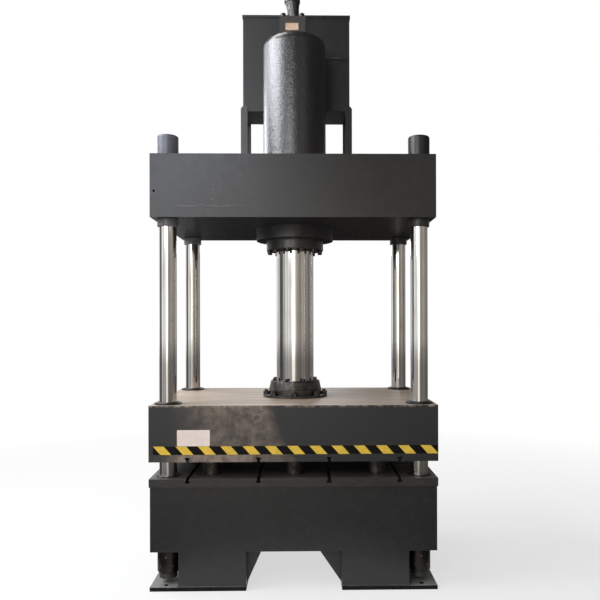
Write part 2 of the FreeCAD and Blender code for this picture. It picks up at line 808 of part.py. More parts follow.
def breather_place():
    return tank_offset_x + tank_width / 3, tank_rear - tank_depth / 4


def tank_lid():
    """Folded lid with a skirt that laps over the tank."""
    x_range = (tank_left - lid_overhang, tank_right + lid_overhang)
    y_range = (tank_front - lid_overhang, tank_rear + lid_overhang)
    outer = block(x_range, y_range, (tank_top - lid_skirt, lid_top))
    inner = block((x_range[0] + lid_thickness, x_range[1] - lid_thickness),
                  (y_range[0] + lid_thickness, y_range[1] - lid_thickness),
                  (tank_top - lid_skirt, tank_top))
    holes = [disc(lid_screw_diameter + 2 * bolt_clearance, tank_top, lid_top, x, y)
             for x, y in lid_screw_places()]
    holes.append(disc(pipe_diameter + 2 * seat_clearance, tank_top, lid_top, pipe_offset_x,
                      tank_centre_y))
    holes += [disc(pipe_flange_bolt_diameter + 2 * seat_clearance, tank_top, lid_top, *place)
              for place in pipe_flange_places()]
    holes.append(disc(breather_neck_diameter + 2 * seat_clearance, tank_top, lid_top,
                      *breather_place()))
    return outer.cut([inner] + holes)


def tank_lid_screws():
    return Part.makeCompound([
        hex_bolt(lid_screw_diameter, x, y, lid_top, lid_thickness + tank_wall + 6)
        for x, y in lid_screw_places()])


def filler_breather():
    """Screw-in breather cap on the lid, with a grip band and a rounded top."""
    x, y = breather_place()
    neck = disc(breather_neck_diameter, tank_top - 30, lid_top, x, y)
    base = disc(breather_diameter - 14, lid_top, lid_top + 0.35 * breather_height, x, y)
    top = lid_top + breather_height
    cap = disc(breather_diameter, lid_top + 0.35 * breather_height, top, x, y)
    rim = [edge for edge in cap.Edges if edge.BoundBox.ZMin > top - 0.01]
    return neck.fuse([base, cap.makeFillet(8, rim)]).removeSplitter()


def level_gauge():
    """Sight gauge on the rear of the tank: a rounded bar with its window set in."""
    width, depth, height = gauge_size
    x = tank_offset_x - tank_width / 3
    z = tank_bottom + tank_height / 2
    shape = block((x - width / 2, x + width / 2), (tank_rear, tank_rear + depth),
                  (z - height / 2, z + height / 2))
    ends = [edge for edge in shape.Edges
            if edge.BoundBox.YLength > depth - 0.1 and edge.BoundBox.XLength < 0.1
            and edge.BoundBox.ZLength < 0.1]
    shape = shape.makeFillet(0.45 * width, ends)
    window = block((x - width / 5, x + width / 5),
                   (tank_rear + depth - 3, tank_rear + depth),
                   (z - height / 3, z + height / 3))
    return shape.cut(window)


def tank_drain_plug():
    head = hexagon(drain_hex, 0, drain_length)
    head.rotate(Vector(0, 0, 0), Vector(1, 0, 0), -90)
    head.translate(Vector(tank_offset_x + tank_width / 3, tank_rear, tank_bottom + drain_hex))
    return head


def pad_centres():
    """Foot pads of the stand, one under each leg."""
    inset = pad_size / 2 - pad_lip
    x = tank_width / 2 + leg_outside_tank - inset
    y_front = tank_front - angle_thickness + inset
    y_rear = tank_rear + angle_thickness - inset
    return [(tank_offset_x + side * x, y) for side in (-1, 1) for y in (y_front, y_rear)]


def pad_bolt_places():
    reach = pad_size / 2 - pad_bolt_from_edge
    places = []
    for x, y in pad_centres():
        inward = -1 if x > tank_offset_x else 1
        places += [(x + inward * reach, y - reach), (x + inward * reach, y + reach)]
    return places


def angle_iron_leg(side, y_corner, y_inward):
    """One angle-iron leg with the corner of its wide face cut off at the top."""
    outer = tank_offset_x + side * (tank_width / 2 + leg_outside_tank)
    low = crown_top + pad_thickness
    high = tank_bottom + leg_lap
    flat = block(sorted((outer, outer - side * angle_leg)),
                 sorted((y_corner, y_corner + y_inward * angle_thickness)), (low, high))
    web = block(sorted((outer, outer - side * angle_thickness)),
                sorted((y_corner, y_corner + y_inward * angle_leg)), (low, high))
    corner = Part.Face(Part.makePolygon([
        Vector(outer, y_corner, high),
        Vector(outer - side * leg_corner_cut, y_corner, high),
        Vector(outer, y_corner, high - leg_corner_cut),
        Vector(outer, y_corner, high),
    ])).extrude(Vector(0, y_inward * angle_thickness, 0))
    web_corner = Part.Face(Part.makePolygon([
        Vector(outer, y_corner, high),
        Vector(outer, y_corner + y_inward * angle_leg, high),
        Vector(outer, y_corner, high - leg_corner_cut),
        Vector(outer, y_corner, high),
    ])).extrude(Vector(-side * angle_thickness, 0, 0))
    return flat.fuse(web).cut([corner, web_corner])


def tank_stand(side):
    """Half of the stand: two legs on pads, tied by the rail that the tank sits on."""
    gap = seat_clearance
    outer = tank_offset_x + side * (tank_width / 2 + leg_outside_tank)
    front = angle_iron_leg(side, tank_front - gap - angle_thickness, 1)
    rear = angle_iron_leg(side, tank_rear + gap + angle_thickness, -1)
    rail_x = sorted((outer - side * angle_thickness, outer - side * (angle_thickness + rail_width)))
    rail = block(rail_x, (tank_front - gap, tank_rear + gap),
                 (tank_bottom - angle_thickness, tank_bottom))
    pads = []
    for x, y in pad_centres():
        if (x - tank_offset_x) * side > 0:
            half = pad_size / 2
            pads.append(block((x - half, x + half), (y - half, y + half),
                              (crown_top, crown_top + pad_thickness)))
    shape = front.fuse([rear, rail] + pads)
    hole = pad_bolt_diameter + 2 * bolt_clearance
    holes = [disc(hole, crown_top, crown_top + pad_thickness, x, y)
             for x, y in pad_bolt_places() if (x - tank_offset_x) * side > 0]
    return shape.cut(holes).removeSplitter()


def tank_stand_bolts():
    return Part.makeCompound([
        hex_bolt(pad_bolt_diameter, x, y, crown_top + pad_thickness, pad_thickness + 20)
        for x, y in pad_bolt_places()])


# ---- Slide ------------------------------------------------------------------------------------

def slide_beam():
    """The moving slide: T-slots underneath, bush bores for the columns, ram seat on top."""
    half_x, half_y = table_width / 2, table_depth / 2
    shape = block((-half_x, half_x), (-half_y, half_y), (slide_bottom, slide_top))
    bush_bore = column_diameter + 2 * guide_bush_wall + 2 * seat_clearance
    cuts = [disc(bush_bore, slide_bottom, slide_top, *place) for place in CORNERS.values()]
    cuts.append(disc(ram_foot_diameter + 2 * seat_clearance,
                     slide_top - ram_foot_height - 1, slide_top))
    stud_hole = flange_stud_diameter + 2 * seat_clearance
    cuts += [disc(stud_hole, slide_top - flange_stud_in_slide - 2, slide_top, *place)
             for place in on_circle(flange_stud_circle, flange_stud_count, 0)]
    screw_hole = guide_screw_diameter + 2 * seat_clearance
    cuts += [disc(screw_hole, slide_top - guide_screw_length, slide_top, *place)
             for place in guide_screw_places()]
    cuts.append(t_slots(slide_bottom, 1))
    return shape.cut(cuts)


def guide_bush(x, y):
    outside = column_diameter + 2 * guide_bush_wall
    inside = column_diameter + 2 * running_clearance
    return ring(outside, inside, slide_bottom + 1, slide_top - seat_clearance, x, y)


def guide_flange(x, y):
    """Flange with a sloped collar that traps the wiper over a guide bush."""
    outer, collar = guide_flange_diameter / 2, guide_collar_diameter / 2
    inner = column_diameter / 2 + seat_clearance
    pocket = column_diameter / 2 + wiper_width + seat_clearance
    rim = slide_top + guide_flange_thickness
    shape = turned([
        (pocket, slide_top),
        (outer, slide_top),
        (outer, rim - 1),
        (outer - 1, rim),
        (collar, rim),
        (collar - guide_collar_slope, rim + guide_collar_height),
        (inner, rim + guide_collar_height),
        (inner, rim),
        (pocket, rim),
    ], x, y)
    hole = guide_screw_diameter + 2 * bolt_clearance
    for screw_x, screw_y in on_circle(guide_screw_circle, 4, 45, x, y):
        shape = shape.cut(disc(hole, slide_top, rim, screw_x, screw_y))
    return shape


def guide_screw_places():
    places = []
    for x, y in CORNERS.values():
        places += on_circle(guide_screw_circle, 4, 45, x, y)
    return places


def guide_flange_screws():
    """Low-head screws that hold the guide flanges down."""
    seat = slide_top + guide_flange_thickness
    screws = []
    for x, y in guide_screw_places():
        head = disc(1.6 * guide_screw_diameter, seat, seat + 3, x, y)
        shank = disc(guide_screw_diameter, seat - guide_screw_length, seat, x, y)
        screws.append(head.fuse(shank).removeSplitter())
    return Part.makeCompound(screws)


def column_wipers():
    outside = column_diameter + 2 * wiper_width
    inside = column_diameter + 2 * seat_clearance
    top = slide_top + guide_flange_thickness - seat_clearance
    return Part.makeCompound([ring(outside, inside, slide_top, top, *place)
                              for place in CORNERS.values()])


# ---- Ram, piston and ram flange -----------------------------------------------------------------

def ram():
    """Chromed ram: foot in the slide, split-ring groove, and the tail that holds the piston."""
    full, groove = ram_diameter / 2, ram_diameter / 2 - split_ring_groove
    tail_top = piston_top + piston_nut_height + ram_tail_past_nut
    return turned([
        (0, slide_top - ram_foot_height),
        (ram_foot_diameter / 2, slide_top - ram_foot_height),
        (ram_foot_diameter / 2, slide_top),
        (full, slide_top),
        (full, hub_top),
        (groove, hub_top),
        (groove, hub_top + split_ring_height),
        (full, hub_top + split_ring_height),
        (full, piston_underside),
        (ram_tail_diameter / 2, piston_underside),
        (ram_tail_diameter / 2, tail_top),
        (0, tail_top),
    ])


def piston_seal_levels():
    low = piston_underside + piston_seal_from_end
    high = piston_top - piston_seal_from_end - piston_seal_height
    return low, high


def piston():
    outside = bore_diameter - 2 * piston_clearance
    shape = ring(outside, ram_tail_diameter + 2 * seat_clearance, piston_underside, piston_top)
    shape = chamfer_rims(shape, nut_chamfer, [piston_underside, piston_top])
    groove_floor = bore_diameter - 2 * piston_clearance - 2 * piston_seal_depth
    for low in piston_seal_levels():
        shape = shape.cut(ring(outside + 2, groove_floor - 2 * seat_clearance,
                               low - seat_clearance, low + piston_seal_height + seat_clearance))
    return shape


def piston_seals():
    outside = bore_diameter - 2 * seal_clearance
    groove_floor = bore_diameter - 2 * piston_clearance - 2 * piston_seal_depth
    return Part.makeCompound([ring(outside, groove_floor, low, low + piston_seal_height)
                              for low in piston_seal_levels()])


def piston_nut():
    inside = ram_tail_diameter + 2 * seat_clearance
    nut = ring(piston_nut_diameter, inside, piston_top, piston_top + piston_nut_height)
    return chamfer_rims(nut, nut_chamfer, [piston_top + piston_nut_height])


def ram_flange():
    """Stepped flange round the ram's foot, held down by studs."""
    base_top = slide_top + flange_thickness
    shape = disc(flange_diameter, slide_top, base_top)
    hub = disc(flange_hub_diameter, base_top, hub_top)
    shape = shape.fuse(chamfer_rims(hub, flange_hub_chamfer, [hub_top]))
    cuts = [disc(ram_diameter + 2 * seat_clearance, slide_top, hub_top)]
    cuts += [disc(flange_stud_diameter + 2 * bolt_clearance, slide_top, base_top, *place)
             for place in on_circle(flange_stud_circle, flange_stud_count, 0)]
    cuts += [disc(clamp_bolt_diameter + 2 * seat_clearance,
                  hub_top - clamp_bolt_in_flange - 2, hub_top, *place)
             for place in on_circle(clamp_bolt_circle, clamp_bolt_count, 22.5)]
    return shape.cut(cuts).removeSplitter()


def ram_flange_studs():
    top = slide_top + flange_thickness + flange_stud_above_flange
    studs = []
    for place in on_circle(flange_stud_circle, flange_stud_count, 0):
        stud = disc(flange_stud_diameter, slide_top - flange_stud_in_slide, top, *place)
        studs.append(chamfer_rims(stud, 2, [top]))
    return Part.makeCompound(studs)


def ram_flange_nuts():
    low = slide_top + flange_thickness
    high = low + 0.8 * flange_stud_diameter
    return Part.makeCompound([
        hexagon(1.5 * flange_stud_diameter, low, high, *place).cut(
            disc(flange_stud_diameter + 2 * seat_clearance, low, high, *place))
        for place in on_circle(flange_stud_circle, flange_stud_count, 0)])


def split_ring():
    """Two half rings in the ram's groove, trapped under the clamp ring."""
    outside = ram_diameter + 2 * split_ring_shoulder
    inside = ram_diameter - 2 * split_ring_groove + 2 * seat_clearance
    whole = ring(outside, inside, hub_top, hub_top + split_ring_height - seat_clearance)
    half_gap = 1.0
    cutter = block((-outside, outside), (-half_gap, half_gap),
                   (hub_top - 1, hub_top + split_ring_height + 1))
    return Part.makeCompound(whole.cut(cutter).Solids)


def clamp_ring():
    """Upper ring that pulls the split ring, and so the ram, down on the flange."""
    inside = ram_diameter / 2 + seat_clearance
    top_outside = clamp_ring_diameter / 2 - clamp_ring_taper
    shape = turned([
        (inside, hub_top),
        (clamp_ring_diameter / 2, hub_top),
        (top_outside, clamp_top - clamp_ring_chamfer),
        (top_outside - clamp_ring_chamfer, clamp_top),
        (inside, clamp_top),
    ])
    pocket = ram_diameter + 2 * split_ring_shoulder + 2 * seat_clearance
    cuts = [disc(pocket, hub_top, hub_top + split_ring_height)]
    cuts += [disc(clamp_bolt_diameter + bolt_clearance, hub_top, clamp_top, *place)
             for place in on_circle(clamp_bolt_circle, clamp_bolt_count, 22.5)]
    return shape.cut(cuts)


def clamp_ring_bolts():
    length = clamp_ring_height + clamp_bolt_in_flange
    return Part.makeCompound([cap_screw(clamp_bolt_diameter, x, y, clamp_top, length)
                              for x, y in on_circle(clamp_bolt_circle, clamp_bolt_count, 22.5)])


# ---- All sub-parts ------------------------------------------------------------------------------

def all_nodes():
    """Every sub-part by name."""
    nodes = {
        "bed_frame": bed_frame(),
        "foot_plate_left": foot_plate(-1),
        "foot_plate_right": foot_plate(1),
        "bed_plate": bed_plate(),
        "stop_posts": stop_posts(),
        "column_base_rings": column_base_rings(),
        "lower_nuts": lower_nuts(),
        "lower_nut_set_screws": lower_nut_set_screws(),
        "cap_nuts": cap_nuts(),
        "crown_ring_nuts": crown_ring_nuts(),
        "crown_beam": crown_beam(),
        "cylinder_barrel": cylinder_barrel(),
        "cylinder_lock_nut": cylinder_lock_nut(),
        "annulus_port_plug": annulus_port_plug(),
        "gland": gland(),
        "gland_bush": gland_bush(),
        "rod_seal": rod_seal(),
        "rod_wiper": rod_wiper(),
        "gland_bolts": gland_bolts(),
        "head_block": head_block(),
        "head_block_bolts": head_block_bolts(),
        "pipe_reducer": pipe_reducer(),
        "pipe_coupling": pipe_coupling(),
        "suction_pipe": suction_pipe(),
        "pipe_flange": pipe_flange(),
        "pipe_flange_bolts": pipe_flange_bolts(),
        "tank_body": tank_body(),
        "tank_lid": tank_lid(),
        "tank_lid_screws": tank_lid_screws(),
        "filler_breather": filler_breather(),
        "level_gauge": level_gauge(),
        "tank_drain_plug": tank_drain_plug(),
        "tank_stand_left": tank_stand(-1),
        "tank_stand_right": tank_stand(1),
        "tank_stand_bolts": tank_stand_bolts(),
        "slide_beam": slide_beam(),
        "guide_flange_screws": guide_flange_screws(),
        "column_wipers": column_wipers(),
        "ram": ram(),
        "piston": piston(),
        "piston_seals": piston_seals(),
        "piston_nut": piston_nut(),
        "ram_flange": ram_flange(),
        "ram_flange_studs": ram_flange_studs(),
        "ram_flange_nuts": ram_flange_nuts(),
        "split_ring": split_ring(),
        "clamp_ring": clamp_ring(),
        "clamp_ring_bolts": clamp_ring_bolts(),
    }
    for corner, place in CORNERS.items():
        nodes["column_" + corner] = column(*place)
        nodes["guide_bush_" + corner] = guide_bush(*place)
        nodes["guide_flange_" + corner] = guide_flange(*place)
    return nodes


def main():
    os.makedirs("parts", exist_ok=True)
    for name, shape in all_nodes().items():
        if not shape.isValid():
            raise ValueError(name + " is not a valid solid")
        shape.exportStep(os.path.join("parts", name + ".step"))
        print(name, len(shape.Solids), round(shape.Volume / 1e6, 3), "litres")


main()
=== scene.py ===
import json
from math import pi, radians

import bmesh
import bpy
import numpy as np
from mathutils import Matrix, Vector

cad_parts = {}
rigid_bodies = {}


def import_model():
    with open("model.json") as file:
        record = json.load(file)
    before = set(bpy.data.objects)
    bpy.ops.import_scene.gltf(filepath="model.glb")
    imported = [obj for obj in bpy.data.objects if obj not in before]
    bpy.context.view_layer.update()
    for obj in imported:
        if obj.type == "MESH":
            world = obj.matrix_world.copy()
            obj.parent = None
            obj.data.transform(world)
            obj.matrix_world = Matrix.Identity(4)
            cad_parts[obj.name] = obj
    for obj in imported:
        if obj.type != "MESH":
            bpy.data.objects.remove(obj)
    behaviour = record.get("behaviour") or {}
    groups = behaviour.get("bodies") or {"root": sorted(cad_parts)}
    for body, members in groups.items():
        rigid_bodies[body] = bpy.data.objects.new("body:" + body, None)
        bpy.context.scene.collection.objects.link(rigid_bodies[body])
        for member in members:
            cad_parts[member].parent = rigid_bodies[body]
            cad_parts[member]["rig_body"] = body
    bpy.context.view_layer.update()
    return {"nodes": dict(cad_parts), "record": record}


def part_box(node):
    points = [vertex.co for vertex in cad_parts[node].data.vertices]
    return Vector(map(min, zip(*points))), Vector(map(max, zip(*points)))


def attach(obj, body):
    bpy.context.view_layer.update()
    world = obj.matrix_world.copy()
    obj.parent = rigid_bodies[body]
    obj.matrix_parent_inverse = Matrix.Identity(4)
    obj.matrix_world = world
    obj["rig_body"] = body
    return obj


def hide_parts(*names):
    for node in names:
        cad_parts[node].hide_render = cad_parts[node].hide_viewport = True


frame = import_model()
nodes = frame["nodes"]
node_slot = {part["node"]: part["material_slot"] for part in frame["record"]["subparts"]}
MM = 0.001
corners = ("front_left", "front_right", "rear_left", "rear_right")


# ---------------------------------------------------------------------------
# Sizes and places, in metres, worked out from the frame where they depend on it
# ---------------------------------------------------------------------------

slide_low, slide_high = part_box("slide_beam")
crown_low, crown_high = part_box("crown_beam")
block_low, block_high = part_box("head_block")
tank_low, tank_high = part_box("tank_body")
bed_low, bed_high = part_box("bed_frame")
nuts_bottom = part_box("lower_nuts")[0][2]
slide_left, slide_front, slide_bottom = slide_low
slide_top = slide_high[2]
crown_left, crown_front, crown_bottom = crown_low
crown_top = crown_high[2]

# Hazard tape along the slide's lower front edge
tape_height = 52 * MM
tape_bottom = slide_bottom + 47 * MM
tape_top = tape_bottom + tape_height
tape_left = slide_left + 27 * MM
tape_right = slide_high[0] - 1.5 * MM
stripe_pitch = 138.4 * MM
stripe_width = 66 * MM
stripe_lean = 0.90                      # sideways run of a stripe for each metre down
stripe_start = tape_left + 0.1 * MM     # upper left corner of the first amber stripe

# Dirt and painted light on the slide, by x: where the painted pool of light over the scuffs and the
# strip under the tape set in, are full and end, and where the painted sheen on the dust on top fades
painted_light_start, painted_light_full = slide_left + 100 * MM, slide_left + 460 * MM
painted_light_lean = 0.52                      # leftward run of the painted light's right end for each metre up
strip_start, strip_full = slide_left + 100 * MM, slide_left + 200 * MM
strip_fades, strip_ends = slide_left + 600 * MM, slide_left + 740 * MM
dust_sheen_full, dust_sheen_fades = slide_left + 550 * MM, slide_left + 1020 * MM

# Ring left by a cup on the slide's front
cup_ring_x = slide_left + 671.4 * MM
cup_ring_z = slide_top - 77.2 * MM
cup_ring_radius = 25 * MM

# Bare label on the slide's front
label_width, label_height = 203 * MM, 100 * MM
label_corner = 7 * MM
label_left = slide_left + 176 * MM
label_bottom = slide_bottom + 99.5 * MM

# Bare plate on the head block, with a rivet in each corner
plate_width, plate_height = 88 * MM, 49 * MM
plate_corner = 3 * MM
plate_x = (block_low[0] + block_high[0]) / 2 - 2.9 * MM
plate_z = block_low[2] + 50.7 * MM
rivet_size = 6 * MM
rivet_from_edge = 9 * MM

# Threads on the columns' ends, below the lower nuts
thread_radius = 55.7 * MM               # at half its depth, just outside the bar
thread_pitch = 6 * MM

# Welds between the bed's legs and its foot plates
leg_outside = 719 * MM                  # from the middle to a leg's outer face
foot_weld_width = 8 * MM
toe_weld_width = 4.5 * MM

# Weld bead on the tank's front and a painted highlight line above it, in mm from its lower right corner
tank_bead = [(-170, 386), (-145, 382), (0, 381)]
tank_painted_highlight_path = [(-134, 398), (-105, 399), (-69, 396)]

# Paint run and chips on the crown's front, in mm from its lower left corner; a chip's width comes last
crown_run_left, crown_run_right, crown_run_height = 160, 585, 70
crown_chips = [(395, 173.5, 9), (382.5, 111.5, 7)]


# ---------------------------------------------------------------------------
# Materials
# ---------------------------------------------------------------------------

def linear(colour):
    """A hex sRGB colour as linear red, green, blue and alpha."""
    s = np.array([int(colour[i:i + 2], 16) for i in (1, 3, 5)]) / 255
    return (*np.where(s <= 0.04045, s / 12.92, ((s + 0.055) / 1.055) ** 2.4), 1.0)


def add(tree, kind, inputs=None, **settings):
    """Adds a shader node of that kind with its settings, and sets its inputs or links them to other
    nodes, whose first output in use is taken."""
    node = tree.nodes.new("ShaderNode" + kind)
    for name, value in settings.items():
        setattr(node, name, value)
    for socket, value in (inputs or {}).items():
        if isinstance(value, bpy.types.Node):
            value = next(output for output in value.outputs if not output.is_unavailable)
        if isinstance(value, bpy.types.NodeSocket):
            tree.links.new(value, node.inputs[socket])
        else:
            node.inputs[socket].default_value = value
    return node


def blank_material(name):
    """A material with an empty node tree, that tree, and object coordinates in it."""
    material = bpy.data.materials.new(name)
    material.use_nodes = True
    tree = material.node_tree
    tree.nodes.clear()
    return material, tree, add(tree, "TexCoord").outputs["Object"]


# Socket numbers of the Map Range node (value, then the range it comes from and goes to) and of the
# Mix node when it mixes colours (factor, first, second).
VALUE, LOW, HIGH, TO_LOW, TO_HIGH = range(5)
FACTOR, FIRST, SECOND = 0, 6, 7


def enamel(name, colour, second, roughness=0.36, rubbing=0.05, dust=0.0, dust_colour="#938a7e",
           coat=0.0, coat_above=None, lumps=0.0, shine=0.5, underside=0.0, painted_window_light=None):
    """Solvent enamel rolled and sprayed over filled steel plate: orange peel about 10 mm across, broad
    soft patches of two close colours, paler spots where the filler was rubbed down, and settled dust on
    what faces up. Shine is how strongly it reflects, and underside is that for what faces down, where
    less topcoat went. A coat makes it glossier, all over or above a height. Lumps are those of brushed
    filler under the paint. A painted window light is a paler colour, painted light, that fades in
    towards the window side, where x is low."""
    material, tree, place = blank_material(name)
    peel = add(tree, "TexNoise", {"Vector": place, "Scale": 1 / (10 * MM), "Detail": 2.0})
    patch = add(tree, "TexNoise", {"Vector": place, "Scale": 1 / (420 * MM), "Detail": 3.0})
    rubbed = add(tree, "TexNoise", {"Vector": place, "Scale": 1 / (34 * MM), "Detail": 6.0,
                                    "Roughness": 0.65})
    spread = add(tree, "MapRange", {VALUE: patch, LOW: 0.3, HIGH: 0.7})
    body = add(tree, "Mix", {FACTOR: spread, FIRST: linear(colour), SECOND: linear(second)},
               data_type="RGBA")
    worn = add(tree, "MapRange", {VALUE: rubbed, LOW: 0.50, HIGH: 0.78, TO_HIGH: rubbing})
    body = add(tree, "Mix", {FACTOR: worn, FIRST: body, SECOND: linear("#77746f")}, data_type="RGBA")
    # Painted window light: towards low x, the window side, the colour turns to the given paler one.
    if painted_window_light:
        x = add(tree, "SeparateXYZ", {"Vector": place}).outputs["X"]
        side = add(tree, "MapRange", {VALUE: x, LOW: 0.3, HIGH: -0.7})
        body = add(tree, "Mix", {FACTOR: side, FIRST: body, SECOND: linear(painted_window_light)},
                   data_type="RGBA")
    up = add(tree, "SeparateXYZ", {"Vector": add(tree, "NewGeometry").outputs["Normal"]}).outputs["Z"]
    topcoat = add(tree, "MapRange", {VALUE: up, LOW: -0.9, HIGH: -0.6, TO_LOW: underside,
                                     TO_HIGH: shine})
    if dust:
        facing = add(tree, "MapRange", {VALUE: up, LOW: 0.55, HIGH: 0.95, TO_HIGH: dust})
        uneven = add(tree, "MapRange", {VALUE: rubbed, LOW: 0.25, HIGH: 0.65, TO_LOW: 0.6})
        settled = add(tree, "Math", {0: facing, 1: uneven}, operation="MULTIPLY")
        body = add(tree, "Mix", {FACTOR: settled, FIRST: body, SECOND: linear(dust_colour)},
                   data_type="RGBA")
    gloss = add(tree, "MapRange", {VALUE: rubbed, LOW: 0.3, HIGH: 0.75, TO_LOW: roughness - 0.03,
                                   TO_HIGH: roughness + 0.07})
    relief = add(tree, "Bump", {"Height": peel, "Strength": 0.10, "Distance": 0.7 * MM})
    if lumps:
        relief = add(tree, "Bump", {"Height": rubbed, "Strength": lumps, "Distance": 3 * MM,
                                    "Normal": relief})
    if coat_above:
        z = add(tree, "SeparateXYZ", {"Vector": place}).outputs["Z"]
        coat = add(tree, "MapRange", {VALUE: z, LOW: coat_above, HIGH: coat_above + 2 * MM,
                                      TO_HIGH: coat})
    waves = add(tree, "Bump", {"Height": patch, "Strength": 0.25, "Distance": 5 * MM,
                               "Normal": relief})
    shader = add(tree, "BsdfPrincipled", {"Base Color": body, "Roughness": gloss, "Normal": waves,
                                          "Specular IOR Level": topcoat, "Coat Weight": coat,
                                          "Coat Roughness": 0.22, "Coat Normal": relief})
    add(tree, "OutputMaterial", {"Surface": shader})
    return material


def painted_light_over_scuffs(tree, place, patch, broken):
    """How much of the brown painted pool of light over the scuffs lies on the slide's front: it sets in
    from the left and ends at a line that leans with height and wanders with the broad patches, and it
    is broken into blotches."""
    x, y, z = add(tree, "SeparateXYZ", {"Vector": place}).outputs
    lean = add(tree, "Math", {0: z, 1: painted_light_lean, 2: x}, operation="MULTIPLY_ADD")
    lean = add(tree, "Math", {0: patch, 1: 0.10, 2: lean}, operation="MULTIPLY_ADD")
    right_end = add(tree, "MapRange", {VALUE: lean, LOW: 0.42, HIGH: 0.50, TO_LOW: 1.0, TO_HIGH: 0.0},
                    interpolation_type="SMOOTHSTEP")
    left_end = add(tree, "MapRange", {VALUE: x, LOW: painted_light_start, HIGH: painted_light_full},
                   interpolation_type="SMOOTHSTEP")
    scuffs_and_painted_light = add(tree, "Math", {0: right_end, 1: left_end}, operation="MULTIPLY")
    return add(tree, "Math", {0: scuffs_and_painted_light, 1: broken}, operation="MULTIPLY")


def strip_dirt(tree, place, broken):
    """How dirty the strip under the tape is, between two ends that fade out."""
    x, y, z = add(tree, "SeparateXYZ", {"Vector": place}).outputs
    strip = add(tree, "MapRange", {VALUE: z, LOW: tape_bottom + 2 * MM, HIGH: tape_bottom - 6 * MM})
    left_end = add(tree, "MapRange", {VALUE: x, LOW: strip_start, HIGH: strip_full, TO_LOW: 0.1})
    right_end = add(tree, "MapRange", {VALUE: x, LOW: strip_fades, HIGH: strip_ends, TO_LOW: 1.0,
                                       TO_HIGH: 0.0})
    for factor in (left_end, right_end, broken, 2.5):
        strip = add(tree, "Math", {0: strip, 1: factor}, operation="MULTIPLY")
    return strip


def cup_ring(tree, place):
    """A faint ring left by a cup, where the distance from its centre is near its radius."""
    x, y, z = add(tree, "SeparateXYZ", {"Vector": place}).outputs
    from_centre = add(tree, "VectorMath", {0: add(tree, "CombineXYZ", {"X": x, "Z": z}),
                                           1: (cup_ring_x, 0.0, cup_ring_z)}, operation="DISTANCE")
    off_ring = add(tree, "Math", {0: from_centre.outputs["Value"], 1: cup_ring_radius},
                   operation="SUBTRACT")
    off_ring = add(tree, "Math", {0: off_ring}, operation="ABSOLUTE")
    return add(tree, "MapRange", {VALUE: off_ring, LOW: 1 * MM, HIGH: 6 * MM, TO_LOW: 0.24,
                                  TO_HIGH: 0.0})


